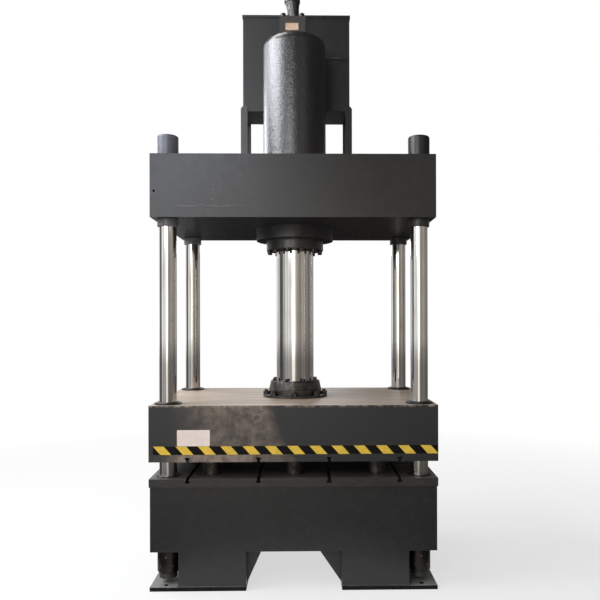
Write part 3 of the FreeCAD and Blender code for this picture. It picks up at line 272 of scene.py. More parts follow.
def slide_enamel():
    """The slide's enamel, half matt from wear. On top lies warm grey workshop dust, wiped into long
    streaks along X, which also spills over the upper front edge; the dust is a little weaker towards
    the right, as painted sheen that is stronger on the left. The left half of the front has brown
    scuffs under a painted pool of light, with small pale scratches in it, and a ring left by a cup, and
    there is more dirt in the strip under the tape. Each layer shows by the product of its three shares."""
    material, tree, place = blank_material("dusty_enamel")
    x, y, z = add(tree, "SeparateXYZ", {"Vector": place}).outputs
    normal = add(tree, "SeparateXYZ", {"Vector": add(tree, "NewGeometry").outputs["Normal"]})
    front = add(tree, "MapRange", {VALUE: normal.outputs["Y"], LOW: -0.5, HIGH: -0.9})
    top = add(tree, "MapRange", {VALUE: normal.outputs["Z"], LOW: 0.55, HIGH: 0.95})
    peel = add(tree, "TexNoise", {"Vector": place, "Scale": 1 / (9 * MM), "Detail": 2.0})
    patch = add(tree, "TexNoise", {"Vector": place, "Scale": 1 / (150 * MM), "Detail": 3.0})
    blotch = add(tree, "TexNoise", {"Vector": place, "Scale": 1 / (70 * MM), "Detail": 7.0,
                                    "Roughness": 0.62})
    scuff = add(tree, "TexNoise", {"Vector": place, "Scale": 1 / (46 * MM), "Detail": 9.0,
                                   "Roughness": 0.72})
    scratch = add(tree, "TexNoise", {"Vector": place, "Scale": 1 / (15 * MM), "Detail": 4.0,
                                     "Roughness": 0.6})
    wiped = add(tree, "Mapping", {"Vector": place, "Scale": (0.5, 5.0, 5.0)})
    streaks = add(tree, "TexNoise", {"Vector": wiped, "Scale": 1 / (260 * MM), "Detail": 5.0,
                                     "Roughness": 0.6})

    broken = add(tree, "MapRange", {VALUE: blotch, LOW: 0.39, HIGH: 0.62, TO_LOW: 0.30})
    # Painted light: a brown pool of light over the scuffs on the left of the front; dirty takes the
    # larger of it and the strip's dirt.
    scuffs_and_painted_light = painted_light_over_scuffs(tree, place, patch, broken)
    dirty = add(tree, "Math", {0: scuffs_and_painted_light, 1: strip_dirt(tree, place, broken)}, operation="MAXIMUM")
    by_edge = add(tree, "MapRange", {VALUE: z, LOW: slide_top - 70 * MM, HIGH: slide_top,
                                     TO_LOW: 0.60, TO_HIGH: 0.95})
    rim = add(tree, "MapRange", {VALUE: z, LOW: slide_top - 15 * MM, HIGH: slide_top - 2 * MM,
                                 TO_HIGH: 0.7})
    spilt = add(tree, "MapRange", {VALUE: scuff, LOW: 0.47, HIGH: 0.60})
    scratches = add(tree, "MapRange", {VALUE: scratch, LOW: 0.62, HIGH: 0.72, TO_HIGH: 0.7})
    uneven = add(tree, "MapRange", {VALUE: streaks, LOW: 0.34, HIGH: 0.60, TO_LOW: 0.55})
    # Painted sheen on the dust on top: full at the left, a little weaker towards the right.
    thick = add(tree, "MapRange", {VALUE: x, LOW: dust_sheen_full, HIGH: dust_sheen_fades, TO_LOW: 1.0,
                                   TO_HIGH: 0.94}, interpolation_type="SMOOTHSTEP")

    body = add(tree, "Mix", {FACTOR: patch, FIRST: linear("#28292a"), SECOND: linear("#2e2d2d")},
               data_type="RGBA")
    layers = [(dirty, front, by_edge, "#8f7e70"),                # brown grime under the painted pool of light on the front
              (rim, spilt, front, "#c4ae97"),                    # dust over the upper edge
              (scratches, scuffs_and_painted_light, front, "#a99b8c"),            # small pale scratches
              (cup_ring(tree, place), front, broken, "#b3aaa0"),
              (top, uneven, thick, "#c4ae97")]                   # dust on top, with painted sheen stronger on the left
    for first, second, third, colour in layers:
        share = add(tree, "Math", {0: first, 1: second}, operation="MULTIPLY")
        share = add(tree, "Math", {0: share, 1: third}, operation="MULTIPLY")
        body = add(tree, "Mix", {FACTOR: share, FIRST: body, SECOND: linear(colour)},
                   data_type="RGBA")

    gloss = add(tree, "MapRange", {VALUE: scuff, LOW: 0.3, HIGH: 0.7, TO_LOW: 0.38, TO_HIGH: 0.52})
    relief = add(tree, "Bump", {"Height": peel, "Strength": 0.12, "Distance": 0.7 * MM})
    shader = add(tree, "BsdfPrincipled", {"Base Color": body, "Roughness": gloss, "Normal": relief})
    add(tree, "OutputMaterial", {"Surface": shader})
    return material


def hard_chrome():
    """Ground and hard-chromed bar with an oil film: mirror bright, with fine grinding rings and long
    smears of grease that were wiped along the bar."""
    material, tree, place = blank_material("hard_chrome")
    rings = add(tree, "Mapping", {"Vector": place, "Scale": (1.0, 1.0, 60.0)})
    grind = add(tree, "TexNoise", {"Vector": rings, "Scale": 1 / (60 * MM), "Detail": 3.0})
    wiped = add(tree, "Mapping", {"Vector": place, "Scale": (1.0, 1.0, 0.06)})
    smear = add(tree, "TexNoise", {"Vector": wiped, "Scale": 1 / (16 * MM), "Detail": 4.0,
                                   "Roughness": 0.6})
    cloud = add(tree, "TexNoise", {"Vector": place, "Scale": 1 / (180 * MM), "Detail": 5.0})
    long_marks = add(tree, "MapRange", {VALUE: smear, LOW: 0.45, HIGH: 0.72})
    where = add(tree, "MapRange", {VALUE: cloud, LOW: 0.35, HIGH: 0.65})
    film = add(tree, "Math", {0: long_marks, 1: where}, operation="MULTIPLY")
    colour = add(tree, "Mix", {FACTOR: film, FIRST: linear("#dcdbda"), SECOND: linear("#a89f93")},
                 data_type="RGBA")
    gloss = add(tree, "MapRange", {VALUE: film, TO_LOW: 0.06, TO_HIGH: 0.18})
    relief = add(tree, "Bump", {"Height": grind, "Strength": 0.05, "Distance": 0.3 * MM})
    shader = add(tree, "BsdfPrincipled", {"Base Color": colour, "Roughness": gloss, "Metallic": 1.0,
                                          "Normal": relief})
    add(tree, "OutputMaterial", {"Surface": shader})
    return material


def turned_steel(name, colour, roughness=0.4):
    """Turned medium-carbon steel that was oiled and has browned: fine tool rings about 2 mm apart and
    patches of dark oil."""
    material, tree, place = blank_material(name)
    lathe = add(tree, "Mapping", {"Vector": place, "Scale": (1.0, 1.0, 30.0)})
    rings = add(tree, "TexNoise", {"Vector": lathe, "Scale": 1 / (70 * MM), "Detail": 3.0})
    oil = add(tree, "TexNoise", {"Vector": place, "Scale": 1 / (55 * MM), "Detail": 5.0,
                                 "Roughness": 0.6})
    oily = add(tree, "MapRange", {VALUE: oil, LOW: 0.38, HIGH: 0.66})
    tint = add(tree, "Mix", {FACTOR: oily, FIRST: linear(colour), SECOND: linear("#3a342f")},
               data_type="RGBA")
    gloss = add(tree, "MapRange", {VALUE: oil, LOW: 0.35, HIGH: 0.7, TO_LOW: roughness - 0.08,
                                   TO_HIGH: roughness + 0.14})
    relief = add(tree, "Bump", {"Height": rings, "Strength": 0.12, "Distance": 0.3 * MM})
    shader = add(tree, "BsdfPrincipled", {"Base Color": tint, "Roughness": gloss, "Metallic": 0.85,
                                          "Normal": relief})
    add(tree, "OutputMaterial", {"Surface": shader})
    return material


def fine_grained(name, colour, second, patch_mm, roughness, metallic=0.0, grain=0.1):
    """A surface of two close colours in soft patches of the given size, under a grain about 3 mm
    across that roughens it slightly."""
    material, tree, place = blank_material(name)
    patch = add(tree, "TexNoise", {"Vector": place, "Scale": 1 / (patch_mm * MM), "Detail": 5.0})
    pits = add(tree, "TexNoise", {"Vector": place, "Scale": 1 / (3 * MM), "Detail": 3.0})
    spread = add(tree, "MapRange", {VALUE: patch, LOW: 0.35, HIGH: 0.68})
    tint = add(tree, "Mix", {FACTOR: spread, FIRST: linear(colour), SECOND: linear(second)},
               data_type="RGBA")
    gloss = add(tree, "MapRange", {VALUE: patch, LOW: 0.3, HIGH: 0.7, TO_LOW: roughness - 0.07,
                                   TO_HIGH: roughness + 0.1})
    relief = add(tree, "Bump", {"Height": pits, "Strength": grain, "Distance": 0.3 * MM})
    shader = add(tree, "BsdfPrincipled", {"Base Color": tint, "Roughness": gloss,
                                          "Metallic": metallic, "Normal": relief})
    add(tree, "OutputMaterial", {"Surface": shader})
    return material


def hazard_film():
    """Printed vinyl floor-marking tape: amber stripes on black, a little worn and soiled. A stripe
    shows where x, less its lean times the distance below the tape's top edge, falls in the first part
    of a pitch."""
    material, tree, place = blank_material("hazard_tape_vinyl")
    x, y, z = add(tree, "SeparateXYZ", {"Vector": place}).outputs
    down = add(tree, "Math", {0: tape_top, 1: z}, operation="SUBTRACT")
    leaned = add(tree, "Math", {0: down, 1: -stripe_lean, 2: x}, operation="MULTIPLY_ADD")
    along = add(tree, "Math", {0: leaned, 1: stripe_start}, operation="SUBTRACT")
    phase = add(tree, "Math", {0: along, 1: stripe_pitch}, operation="DIVIDE")
    phase = add(tree, "Math", {0: phase}, operation="FRACT")
    striped = add(tree, "Math", {0: phase, 1: stripe_width / stripe_pitch}, operation="LESS_THAN")
    scuff = add(tree, "TexNoise", {"Vector": place, "Scale": 1 / (25 * MM), "Detail": 7.0,
                                   "Roughness": 0.7})
    dirt = add(tree, "MapRange", {VALUE: scuff, LOW: 0.45, HIGH: 0.75, TO_HIGH: 0.4})
    amber = add(tree, "Mix", {FACTOR: dirt, FIRST: linear("#f4cb4c"), SECOND: linear("#a2843c")},
                data_type="RGBA")
    black = add(tree, "Mix", {FACTOR: dirt, FIRST: linear("#0d0b0a"), SECOND: linear("#241f1a")},
                data_type="RGBA")
    tint = add(tree, "Mix", {FACTOR: striped, FIRST: black, SECOND: amber}, data_type="RGBA")
    gloss = add(tree, "MapRange", {VALUE: scuff, LOW: 0.3, HIGH: 0.7, TO_LOW: 0.45, TO_HIGH: 0.6})
    shader = add(tree, "BsdfPrincipled", {"Base Color": tint, "Roughness": gloss,
                                          "Specular IOR Level": 0.15})
    add(tree, "OutputMaterial", {"Surface": shader})
    return material


def seen_ray(tree):
    """1 for what is seen by the camera, in a mirror or through glass, and 0 for what only gives
    light."""
    path = add(tree, "LightPath")
    seen = add(tree, "Math", {0: path.outputs["Is Camera Ray"], 1: path.outputs["Is Glossy Ray"]},
               operation="MAXIMUM")
    return add(tree, "Math", {0: seen, 1: path.outputs["Is Transmission Ray"]}, operation="MAXIMUM")


def floor_finish():
    """Pale matt studio floor, which far out turns to the white of the background. To the camera and in
    reflections it is part white near the press too, so that its shadow stays soft."""
    material, tree, place = blank_material("studio_floor")
    away = add(tree, "VectorMath", {0: place}, operation="LENGTH").outputs["Value"]
    far = add(tree, "MapRange", {VALUE: away, LOW: 2.2, HIGH: 6.0, TO_LOW: 0.65})
    share = add(tree, "Math", {0: far, 1: seen_ray(tree)}, operation="MULTIPLY")
    tone = add(tree, "TexNoise", {"Vector": place, "Scale": 1 / (600 * MM), "Detail": 4.0})
    grey = add(tree, "Mix", {FACTOR: tone, FIRST: linear("#f6f5f3"), SECOND: linear("#f1f0ee")},
               data_type="RGBA")
    matt = add(tree, "BsdfDiffuse", {"Color": grey})
    glow = add(tree, "Emission", {"Color": (1, 1, 1, 1), "Strength": 1.0})
    add(tree, "OutputMaterial", {"Surface": add(tree, "MixShader", {0: share, 1: matt, 2: glow})})
    return material


# ---------------------------------------------------------------------------
# Meshes
# ---------------------------------------------------------------------------

def grid_faces(rows, columns, wrap=False):
    """Quads between neighbouring points of a grid, rows by columns, closed round if it wraps."""
    index = np.arange(rows * columns).reshape(rows, columns)
    if wrap:
        index = np.hstack([index, index[:, :1]])
    corners = [index[:-1, :-1], index[:-1, 1:], index[1:, 1:], index[1:, :-1]]
    return np.stack(corners, -1).reshape(-1, 4)


def place_mesh(name, points, faces, finish):
    """An object of those points and quads, with that finish."""
    mesh = bpy.data.meshes.new(name)
    mesh.from_pydata(np.asarray(points, float).reshape(-1, 3).tolist(), [], faces.tolist())
    mesh.materials.append(finish)
    thing = bpy.data.objects.new(name, mesh)
    bpy.context.scene.collection.objects.link(thing)
    return thing


def tube_piece(name, points, finish, body, smooth=True):
    """A closed piece from rings of points, rows by columns: quads round it and a cap on each end."""
    rows, columns = points.shape[:2]
    piece = place_mesh(name, points, grid_faces(rows, columns, wrap=True), finish)
    work = bmesh.new()
    work.from_mesh(piece.data)
    bmesh.ops.holes_fill(work, edges=work.edges)
    bmesh.ops.recalc_face_normals(work, faces=work.faces)
    for face in work.faces:
        face.smooth = smooth and len(face.verts) == 4
    work.to_mesh(piece.data)
    work.free()
    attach(piece, body)


def softened(node, edge_mm, finish):
    """A copy of a CAD node, merged, with its sharp edges rounded, in place of that node. The weld
    closes the slivers that the rounding leaves at inner corners."""
    mesh = nodes[node].data.copy()
    mesh.name = node + "_softened"
    if "custom_normal" in mesh.attributes:
        mesh.attributes.remove(mesh.attributes["custom_normal"])
    work = bmesh.new()
    work.from_mesh(mesh)
    bmesh.ops.remove_doubles(work, verts=work.verts, dist=0.005 * MM)
    bmesh.ops.dissolve_limit(work, angle_limit=radians(0.4), verts=work.verts, edges=work.edges)
    for face in work.faces:
        face.smooth = True
    work.to_mesh(mesh)
    work.free()
    mesh.materials.clear()
    mesh.materials.append(finish)
    piece = bpy.data.objects.new(node + "_softened", mesh)
    bpy.context.scene.collection.objects.link(piece)
    bevel = piece.modifiers.new("rounded_edges", "BEVEL")
    bevel.width = edge_mm * MM
    bevel.segments = 2
    bevel.limit_method = "ANGLE"
    bevel.angle_limit = radians(32)
    bevel.harden_normals = True
    weld = piece.modifiers.new("weld", "WELD")
    weld.merge_threshold = 0.02 * MM
    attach(piece, nodes[node]["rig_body"])
    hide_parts(node)


def rounded_sheet(name, centre, width, height, corner, profile, finish, body):
    """A thin plate that faces the front. Its outline is a rectangle whose corners are quarter circles:
    each of its points is a corner's centre plus the corner's radius in the direction of travel. The
    profile gives, in mm, how far in from that outline and how far out of the wall each ring lies."""
    turn = np.linspace(0, 2 * pi, 48, endpoint=False) + pi / 48
    inset, out = np.array(profile).T[:, :, None] * MM
    radius = np.maximum(corner - inset, 0.2 * MM)
    across = np.sign(np.cos(turn)) * (width / 2 - inset - radius) + radius * np.cos(turn)
    up = np.sign(np.sin(turn)) * (height / 2 - inset - radius) + radius * np.sin(turn)
    points = np.stack([centre[0] + across, centre[1] - out + 0 * across, centre[2] + up], -1)
    tube_piece(name, points, finish, body, smooth=False)


def bead(name, path, face_a, face_b, width, finish):
    """A fillet weld, or a run of paint, along a path. Across it the profile is an arc, a little fuller
    than round, from one face to the other. Along it that arc rises and falls with a sine of 4.5 mm
    ripples and a slower, weaker one, and its root lies 1 mm inside both faces."""
    step, ripple, slow_ripple = 2.2 * MM, 4.5 * MM, 2 * pi * 31 * MM
    path = np.asarray(path, float)
    face_a, face_b = np.asarray(face_a, float), np.asarray(face_b, float)
    travel = np.concatenate([[0], np.cumsum(np.linalg.norm(np.diff(path, axis=0), axis=1))])
    count = max(8, int(travel[-1] / step))
    along = np.linspace(0, travel[-1], count)
    line = np.stack([np.interp(along, travel, path[:, k]) for k in range(3)], -1)[:, None, :]
    size = 1 + 0.10 * np.sin(along / ripple * 2 * pi) + 0.05 * np.sin(along / slow_ripple * 2 * pi)
    turn = np.linspace(0, pi / 2, 6)[None, :, None]
    arc = np.cos(turn) ** 0.85 * face_a + np.sin(turn) ** 0.85 * face_b
    root = line - 1.0 * MM * (face_a + face_b)
    points = np.concatenate([line + width * size[:, None, None] * arc, root], axis=1)
    tube_piece(name, points, finish, "frame")


def thread(name, axis, radius, low, high, pitch, finish):
    """A threaded length: the radius falls and rises like a triangle wave with height, and the wave is
    carried round so that it climbs one pitch for each turn. It runs out over a pitch at both ends, and
    sits on the bar under it."""
    rings_per_pitch = 8
    depth = 0.28 * pitch
    z = np.linspace(low, high, int((high - low) / pitch * rings_per_pitch))[:, None]
    turn = np.linspace(0, 2 * pi, 64, endpoint=False)[None, :]
    wave = np.abs(((z / pitch - turn / (2 * pi)) % 1) - 0.5) * 2
    run_out = np.clip(np.minimum(z - low, high - z) / pitch, 0, 1)
    r = radius + (wave - 0.5) * depth * run_out
    points = np.stack([axis[0] + r * np.cos(turn), axis[1] + r * np.sin(turn), z + 0 * turn], -1)
    tube_piece(name, points, finish, "frame")


# ---------------------------------------------------------------------------
# Finishes of the CAD nodes, and what each gives the eye
# ---------------------------------------------------------------------------

# The bed and most painted pieces: near-black half gloss, with dust on all that faces up.
charcoal = enamel("rolled_enamel", "#262625", "#2a2929", dust=0.8)
# The crown: glossier, with painted window light that turns it paler and bluer towards the windows, and
# an underside that hardly reflects.
crown_paint = enamel("crown_enamel", "#242322", "#292827", roughness=0.33, dust=0.4, underside=0.03,
                     painted_window_light="#2d2f33")
# The barrel and the cone and coupling over it: brushed filler under thick gloss, whose highlights
# break up. Below the crown there is no gloss coat.
barrel_paint = enamel("barrel_enamel", "#2b2929", "#302e2e", roughness=0.33, rubbing=0.04, coat=0.9,
                      coat_above=crown_top, lumps=1.0)
# The cap nuts: painted window light turns them a pale bluish grey on the window side.
cap_paint = enamel("cap_nut_enamel", "#242424", "#272727", roughness=0.33, dust=0.4,
                   painted_window_light="#6f7279")
# The tank: duller paint on sheet metal, with painted window light that turns it mid grey on the window
# side.
tank_paint = enamel("tank_enamel", "#282727", "#2c2b2a", roughness=0.4, dust=0.5, underside=0.1,
                    painted_window_light="#464646")
# The tank's stand and the ring nuts: the same dull paint, with stronger painted window light on the
# window side.
sunlit_paint = enamel("sunlit_enamel", "#2b2a2a", "#302f2e", roughness=0.4, dust=0.5,
                      painted_window_light="#646464")
# The head block: a paler, warmer grey than the barrel under it.
block_paint = enamel("block_enamel", "#474441", "#4c4845", roughness=0.4, dust=0.5)
# The slide: dusty on top and scuffed brown on its front.
slide_paint = slide_enamel()
# The foot plates: almost black and matt on their edges, pale with floor dust on top.
foot_paint = enamel("foot_enamel", "#191919", "#1d1d1d", roughness=0.45, rubbing=0.12, dust=0.9,
                    dust_colour="#a3a29c", shine=0.08)
# The guide flanges: the darkest paint, a plain dark ring round each column.
flange_paint = enamel("dark_flange_enamel", "#171716", "#1b1a1a", roughness=0.42, underside=0.1)
# The cylinder's end cover: warm black with a thin gloss coat.
gland_paint = enamel("gland_enamel", "#272523", "#2d2a27", roughness=0.34, coat=0.25)
# The stop posts, the base rings and the ram's flange and clamp: bare steel off the lathe, mid grey
# with brown oil.
steel = turned_steel("turned_steel", "#5a5856")
# The nuts under the bed: the same steel, darkened by oil.
dark_steel = turned_steel("oiled_nut_steel", "#2b2a29", roughness=0.36)
# The columns' threaded ends: dull dark grease with a little metal in it.
greasy = fine_grained("greasy_thread", "#343432", "#454441", 12, 0.5, 0.3)
# The rivets and the lower nuts' set screws: zinc plating, bright grey and cloudy in small patches.
zinc = fine_grained("zinc_plated_steel", "#c8c6c2", "#a8a6a2", 6, 0.3, 1.0)
# The bare plate: lacquered copper sheet with a pale, warm, half metallic sheen.
copper = fine_grained("copper_sheet", "#ffe3c4", "#efcaa8", 25, 0.38, 0.4)
# The bare label: vinyl, almost smooth and warm white.
white_vinyl = fine_grained("white_label_vinyl", "#ffeee3", "#f5e1d6", 60, 0.5, grain=0.03)
# Runs and chips of an earlier coat, and a painted highlight over the tank's weld bead: glossy mid grey
# that stands out from the black.
pale_paint = fine_grained("paint_runs_and_highlight", "#85868a", "#6f7074", 30, 0.35)

finishes = {
    "dark_grey_paint": charcoal,
    # Planed steel under a brown film of old oil that hides the metal: near black, with paler spots.
    "oiled_table_steel": enamel("oiled_table_steel", "#2d2b29", "#363330", roughness=0.42,
                                rubbing=0.10, dust=0.25),
    "turned_steel": steel,
    # Black-oxide screws and bolts: dark grey metal with a satin gloss.
    "bolt_steel": fine_grained("black_oxide_steel", "#3b3a39", "#4a4744", 8, 0.38, 0.8),
    "hard_chrome": hard_chrome(),
    # Cast and bored bronze: brown gold metal.
    "bearing_bronze": fine_grained("bearing_bronze", "#b08a4a", "#9a7440", 20, 0.32, 1.0),
    # Nitrile rubber: matt black.
    "seal_rubber": fine_grained("seal_rubber", "#191919", "#222221", 12, 0.62),
    # Moulded nylon: black with a soft gloss.
    "black_plastic": fine_grained("black_plastic", "#1d1d1e", "#262627", 14, 0.45),
}
own_finish = {
    "crown_beam": crown_paint,
    "cylinder_barrel": barrel_paint,
    "pipe_reducer": barrel_paint,
    "pipe_coupling": barrel_paint,
    "cap_nuts": cap_paint,
    "tank_body": tank_paint,
    "tank_lid": tank_paint,
    "tank_stand_left": sunlit_paint,
    "tank_stand_right": sunlit_paint,
    "crown_ring_nuts": sunlit_paint,
    "head_block": block_paint,
    "slide_beam": slide_paint,
    "foot_plate_left": foot_paint,
    "foot_plate_right": foot_paint,
    "gland": gland_paint,
    "lower_nuts": dark_steel,
    "lower_nut_set_screws": zinc,
}
for corner in corners:
    own_finish["guide_flange_" + corner] = flange_paint
for node, piece in nodes.items():
    for holder in piece.material_slots:
        holder.material = own_finish.get(node, finishes[node_slot[node]])

edge_radius_mm = {
    "bed_frame": 3.0, "foot_plate_left": 1.5, "foot_plate_right": 1.5, "bed_plate": 1.5,
    "slide_beam": 2.5, "crown_beam": 2.5, "tank_body": 2.0, "tank_lid": 1.0, "tank_stand_left": 0.8,
    "tank_stand_right": 0.8, "head_block": 2.0, "ram_flange": 1.5, "clamp_ring": 1.5, "gland": 1.5,
}
for node, edge_mm in edge_radius_mm.items():
    softened(node, edge_mm, own_finish.get(node, finishes[node_slot[node]]))


# ---------------------------------------------------------------------------
# Tape, label, plate, threads, welds, paint runs and a painted highlight
# ---------------------------------------------------------------------------

def hazard_tape():
    """A strip on the slide's front. Its distance from the steel is a film's thickness plus low bubbles,
    which are a product of two sines of x and z, squared and faded out at the strip's edges. The whole
    strip wanders up and down a little with a sine of x."""
    rows, columns = 7, 260
    film_gap, bubble_height, wander = 0.25 * MM, 0.5 * MM, 0.8 * MM
    x = np.linspace(tape_left, tape_right, columns)[None, :]
    z = np.linspace(tape_bottom, tape_top, rows)[:, None]
    bubbles = np.clip(np.sin(x * 23.0) * np.sin(x * 7.1 + z * 60.0), 0, 1) ** 2
    inside = np.sin((tape_top - z) / tape_height * pi)
    y = slide_front - film_gap - bubble_height * bubbles * inside
    points = np.stack([x + 0 * z, y, z + wander * np.sin(x * 2.1)], -1)
    piece = place_mesh("hazard_tape", points, grid_faces(rows, columns), hazard_film())
    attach(piece, "slide")
    film = piece.modifiers.new("film", "SOLIDIFY")
    film.thickness = 0.2 * MM
    film.offset = 0.0


def label():
    """The bare vinyl label: a film 0.35 mm thick, 0.05 mm off the paint, with its edge eased."""
    centre = (label_left + label_width / 2, slide_front, label_bottom + label_height / 2)
    rounded_sheet("blank_label", centre, label_width, label_height, label_corner,
                  [(0, 0.05), (0, 0.35), (0.3, 0.4)], white_vinyl, "slide")


def plate_and_rivets():
    """The bare plate on the head block, with a raised edge and a round-headed rivet in each corner."""
    rounded_sheet("blank_plate", (plate_x, block_low[1], plate_z), plate_width, plate_height,
                  plate_corner, [(0, 0), (0, 1.6), (0.8, 2.2), (4.5, 2.2), (5.5, 1.0)], copper,
                  "frame")
    reach_x, reach_z = plate_width / 2 - rivet_from_edge, plate_height / 2 - rivet_from_edge
    for number, (side, end) in enumerate(((-1, -1), (1, -1), (1, 1), (-1, 1)), 1):
        centre = (plate_x + side * reach_x, block_low[1], plate_z + end * reach_z)
        rounded_sheet(f"plate_rivet_{number}", centre, rivet_size, rivet_size, rivet_size / 2,
                      [(0, 0.9), (0.1, 2.2), (1.0, 3.0), (2.0, 3.3)], zinc, "frame")


def column_threads():
    """The threaded ends of the columns, from their lower ends to just inside the lower nuts."""
    for corner in corners:
        low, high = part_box("column_" + corner)
        axis = (np.array(low) + np.array(high)) / 2
        thread("column_thread_" + corner, axis, thread_radius, low[2] - 0.5 * MM,
               nuts_bottom + 1 * MM, thread_pitch, greasy)


def foot_welds():
    """On each side a weld along the leg's outer foot, and one along each end of the leg."""
    front, rear = bed_low[1], bed_high[1]
    for name, side in (("left", -1), ("right", 1)):
        plate_low, plate_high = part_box("foot_plate_" + name)
        top = plate_high[2]
        outer = side * leg_outside
        inner = (plate_low if side > 0 else plate_high)[0]
        bead(f"foot_weld_{name}", [(outer, front, top), (outer, rear, top)],
             (side, 0, 0), (0, 0, 1), foot_weld_width, charcoal)
        for end, y, outward in (("front", front, -1), ("rear", rear, 1)):
            bead(f"toe_weld_{name}_{end}", [(inner, y, top), (outer, y, top)],
                 (0, outward, 0), (0, 0, 1), toe_weld_width, charcoal)


def tank_marks():
    """A weld bead across the tank's front and, above it, a pale line painted as its highlight."""
    corner = np.array([tank_high[0], tank_low[1], tank_low[2]])
    for name, line, outward, width, finish in (
            ("tank_front_bead", tank_bead, (0, -1, 0.4), 6 * MM, tank_paint),
            # The pale line is a painted highlight along the top of the bead.
            ("tank_painted_highlight", tank_painted_highlight_path, (0, -0.45, 0), 3 * MM, pale_paint)):
        path = [corner + np.array([x, 0, z]) * MM for x, z in line]
        bead(name, path, outward, (0, 0, 1), width, finish)


def crown_marks():
    """A run of paint along the crown's front, whose height varies with two sines of x, and chips."""
    run = crown_left + np.linspace(crown_run_left, crown_run_right, 60) * MM
    height = crown_bottom + (crown_run_height + 2.4 * np.sin(run * 31) + 1.4 * np.sin(run * 73)) * MM
    bead("crown_paint_run", np.stack([run, crown_front + 0 * run, height], -1),
         (0, -0.45, 0), (0, 0, 1), 2.8 * MM, pale_paint)
    for number, (x, z, size) in enumerate(crown_chips, 1):
        centre = (crown_left + x * MM, crown_front, crown_bottom + z * MM)
        rounded_sheet(f"crown_chip_{number}", centre, size * MM, 0.7 * size * MM, 0.3 * size * MM,
                      [(0, 0), (0, 0.3), (0.5, 0.4)], pale_paint, "frame")


hazard_tape()
label()
plate_and_rivets()
column_threads()
foot_welds()
tank_marks()
crown_marks()


# ---------------------------------------------------------------------------
# Floor, light and camera
# ---------------------------------------------------------------------------

def studio_floor():
    """A level square under the press, 60 m wide."""
    reach = np.linspace(-30.0, 30.0, 3)
    points = np.stack([*np.meshgrid(reach, reach), np.zeros((3, 3))], -1)
    place_mesh("studio_floor", points, grid_faces(3, 3), floor_finish())


def workshop_grey():
    """The glow of the reflection room. Its grey follows the direction, named in degrees to the right of
    the front, and is written at a third of its strength. It darkens near the floor and more towards the
    press, and fades to near black high up, between the windows."""
    material, tree, place = blank_material("reflection_room")
    x, y, z = add(tree, "SeparateXYZ", {"Vector": place}).outputs
    forward = add(tree, "Math", {0: y, 1: -1.0}, operation="MULTIPLY")
    bearing = add(tree, "Math", {0: x, 1: forward}, operation="ARCTAN2")
    turned = add(tree, "MapRange", {VALUE: bearing, LOW: -pi, HIGH: pi})
    ramp = add(tree, "ValToRGB", {"Fac": turned})
    stops = [(-180, "#1f1f1f"), (-167, "#1f1f1f"), (-161, "#999999"), (-119, "#999999"),
             (-111, "#717171"), (-104, "#3f3f3f"), (-90, "#323231"), (-80, "#4e4e4d"),
             (-72, "#7f7e7d"), (-64, "#b5b5b4"), (-56, "#9f9e9c"), (-48, "#7f7e7b"),
             (-41, "#a2a09c"), (-32, "#95938e"), (-21, "#96938d"), (-16, "#fff9ef"),
             (-1, "#fff9ef"), (3, "#85817a"), (10, "#7c7670"), (15, "#68645e"),
             (25, "#615c56"), (34, "#54514e"), (42, "#6c6862"), (62, "#65625d"),
             (71, "#565450"), (84, "#595653"), (95, "#413e3b"), (104, "#54514d"),
             (120, "#666461"), (150, "#6e6d6b"), (163, "#1f1f1f"), (180, "#1f1f1f")]
    band = ramp.color_ramp
    while len(band.elements) < len(stops):
        band.elements.new(0.5)
    for element, (degrees, colour) in zip(band.elements, stops):
        element.position = (degrees + 180) / 360
        element.color = linear(colour)
    low_down = add(tree, "MapRange", {VALUE: z, LOW: 1.4, HIGH: 1.0, TO_HIGH: 0.6})
    away = add(tree, "VectorMath", {0: place}, operation="LENGTH").outputs["Value"]
    close_by = add(tree, "MapRange", {VALUE: away, LOW: 7.0, HIGH: 2.0, TO_HIGH: 0.4})
    dark = add(tree, "Math", {0: low_down, 1: close_by})
    seen = add(tree, "Mix", {FACTOR: dark, FIRST: ramp, SECOND: linear("#232120")}, data_type="RGBA")
    high_up = add(tree, "MapRange", {VALUE: z, LOW: 3.6, HIGH: 4.6})
    seen = add(tree, "Mix", {FACTOR: high_up, FIRST: seen, SECOND: linear("#181818")},
               data_type="RGBA")
    add(tree, "OutputMaterial", {"Surface": add(tree, "Emission", {"Color": seen, "Strength": 3.0})})
    return material


def reflection_room():
    """Floor, wall and ceiling of a workshop: a surface turned about the press's axis. Only mirror-like
    surfaces see it, and it throws no shadow."""
    hole, wall, floor, ceiling = 1.25, 7.5, 6 * MM, 14.0
    turn = np.linspace(0, 2 * pi, 96, endpoint=False)[None, :]
    radius = np.array([hole, wall, wall, 0.1])[:, None]
    z = np.array([floor, floor, ceiling, ceiling])[:, None]
    points = np.stack([radius * np.cos(turn), radius * np.sin(turn), z + 0 * turn], -1)
    room = place_mesh("reflection_room", points, grid_faces(4, 96, wrap=True), workshop_grey())
    room.visible_camera = False
    room.visible_diffuse = False
    room.visible_transmission = False
    room.visible_volume_scatter = False
    room.visible_shadow = False


def daylight():
    """White to the camera and to mirrors, grey to what it lights."""
    world = bpy.data.worlds.new("studio")
    bpy.context.scene.world = world
    world.use_nodes = True
    tree = world.node_tree
    tree.nodes.clear()
    lit = add(tree, "Background", {"Color": (0.18, 0.18, 0.183, 1), "Strength": 1.0})
    white = add(tree, "Background", {"Color": (1, 1, 1, 1), "Strength": 1.0})
    both = add(tree, "MixShader", {0: seen_ray(tree), 1: lit, 2: white})
    add(tree, "OutputWorld", {"Surface": both})


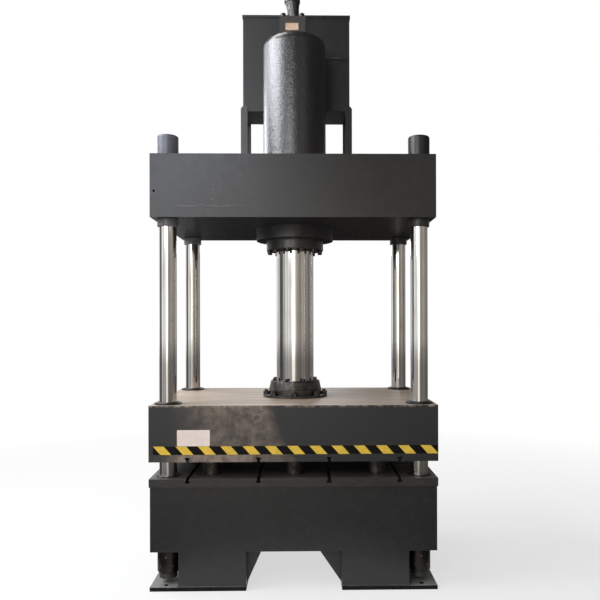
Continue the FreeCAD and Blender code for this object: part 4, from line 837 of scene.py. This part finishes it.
def softbox(name, place, aim, width, height, brightness, colour=(1.0, 1.0, 1.0)):
    """A rectangular lamp at a place, turned to an aim; brightness 1 looks white."""
    lamp = bpy.data.lights.new(name, "AREA")
    lamp.shape = "RECTANGLE"
    lamp.size = width
    lamp.size_y = height
    lamp.energy = brightness * pi * width * height
    lamp.color = colour
    light = bpy.data.objects.new(name, lamp)
    bpy.context.scene.collection.objects.link(light)
    light.visible_camera = False
    gaze = Vector(aim) - Vector(place)
    turned = gaze.to_track_quat("-Z", "Y").to_matrix().to_4x4()
    light.matrix_world = Matrix.Translation(place) @ turned


def window_ring():
    """A ring of windows round the press, each as wide as the step between them. The rows give, by
    bearing from +X towards +Y in degrees, the brightness of the lower, middle and upper light."""
    rows = {90: (5.0, 0, 0), 105: (2.0, 1.5, 1.2), 135: (0, 6.5, 1.6), 150: (0, 3.2, 2.5),
            165: (0, 0, 5.9), 180: (0, 0, 14.0), 195: (0, 3.5, 13.5), 210: (0, 6.0, 15.5),
            225: (0, 0, 5.0), 240: (6.5, 1.2, 0), 255: (0, 6.2, 0)}
    levels = ((2.8, 3.7), (3.7, 5.2), (5.2, 6.7))
    distance, step = 6.0, radians(15)
    cool = (0.94, 0.975, 1.035)
    for bearing, row in rows.items():
        x, y = distance * np.cos(radians(bearing)), distance * np.sin(radians(bearing))
        for (low, high), brightness in zip(levels, row):
            middle = (low + high) / 2
            if brightness:
                softbox(f"window_{bearing}_{low}", (x, y, middle), (0.0, 0.0, middle),
                        2 * distance * np.tan(step / 2), high - low, brightness, cool)


def photo_camera():
    """A camera at standing eye height in front of the press, level and turned slightly to the right.
    Its shift frames the press as the photograph does."""
    eye = (0.0696, -4.5619, 1.6515)
    turn, roll = -0.0167, -0.002
    lens = bpy.data.cameras.new("camera")
    lens.sensor_width = 36.0
    lens.lens = 38.64
    lens.shift_x = -0.02605
    lens.shift_y = 0.04105
    lens.clip_end = 100.0
    camera = bpy.data.objects.new("camera", lens)
    bpy.context.scene.collection.objects.link(camera)
    camera.matrix_world = (Matrix.Translation(eye) @ Matrix.Rotation(turn, 4, "Z")
                           @ Matrix.Rotation(pi / 2, 4, "X") @ Matrix.Rotation(roll, 4, "Z"))
    bpy.context.scene.camera = camera


studio_floor()
reflection_room()
daylight()
window_ring()
softbox("rear_right_light", (1.55, 5.8, 4.6), (0.0, 0.0, 3.0), 2.4, 3.0, 0.6)
softbox("front_right_light", (3.0, -5.2, 4.6), (0.0, 0.0, 3.0), 2.4, 3.0, 0.4)
softbox("roof_light", (-3.5, 0.0, 7.3), (-1.4, 0.0, 1.5), 2.4, 4.5, 6.0)
photo_camera()
bpy.context.scene.view_settings.view_transform = "Standard"
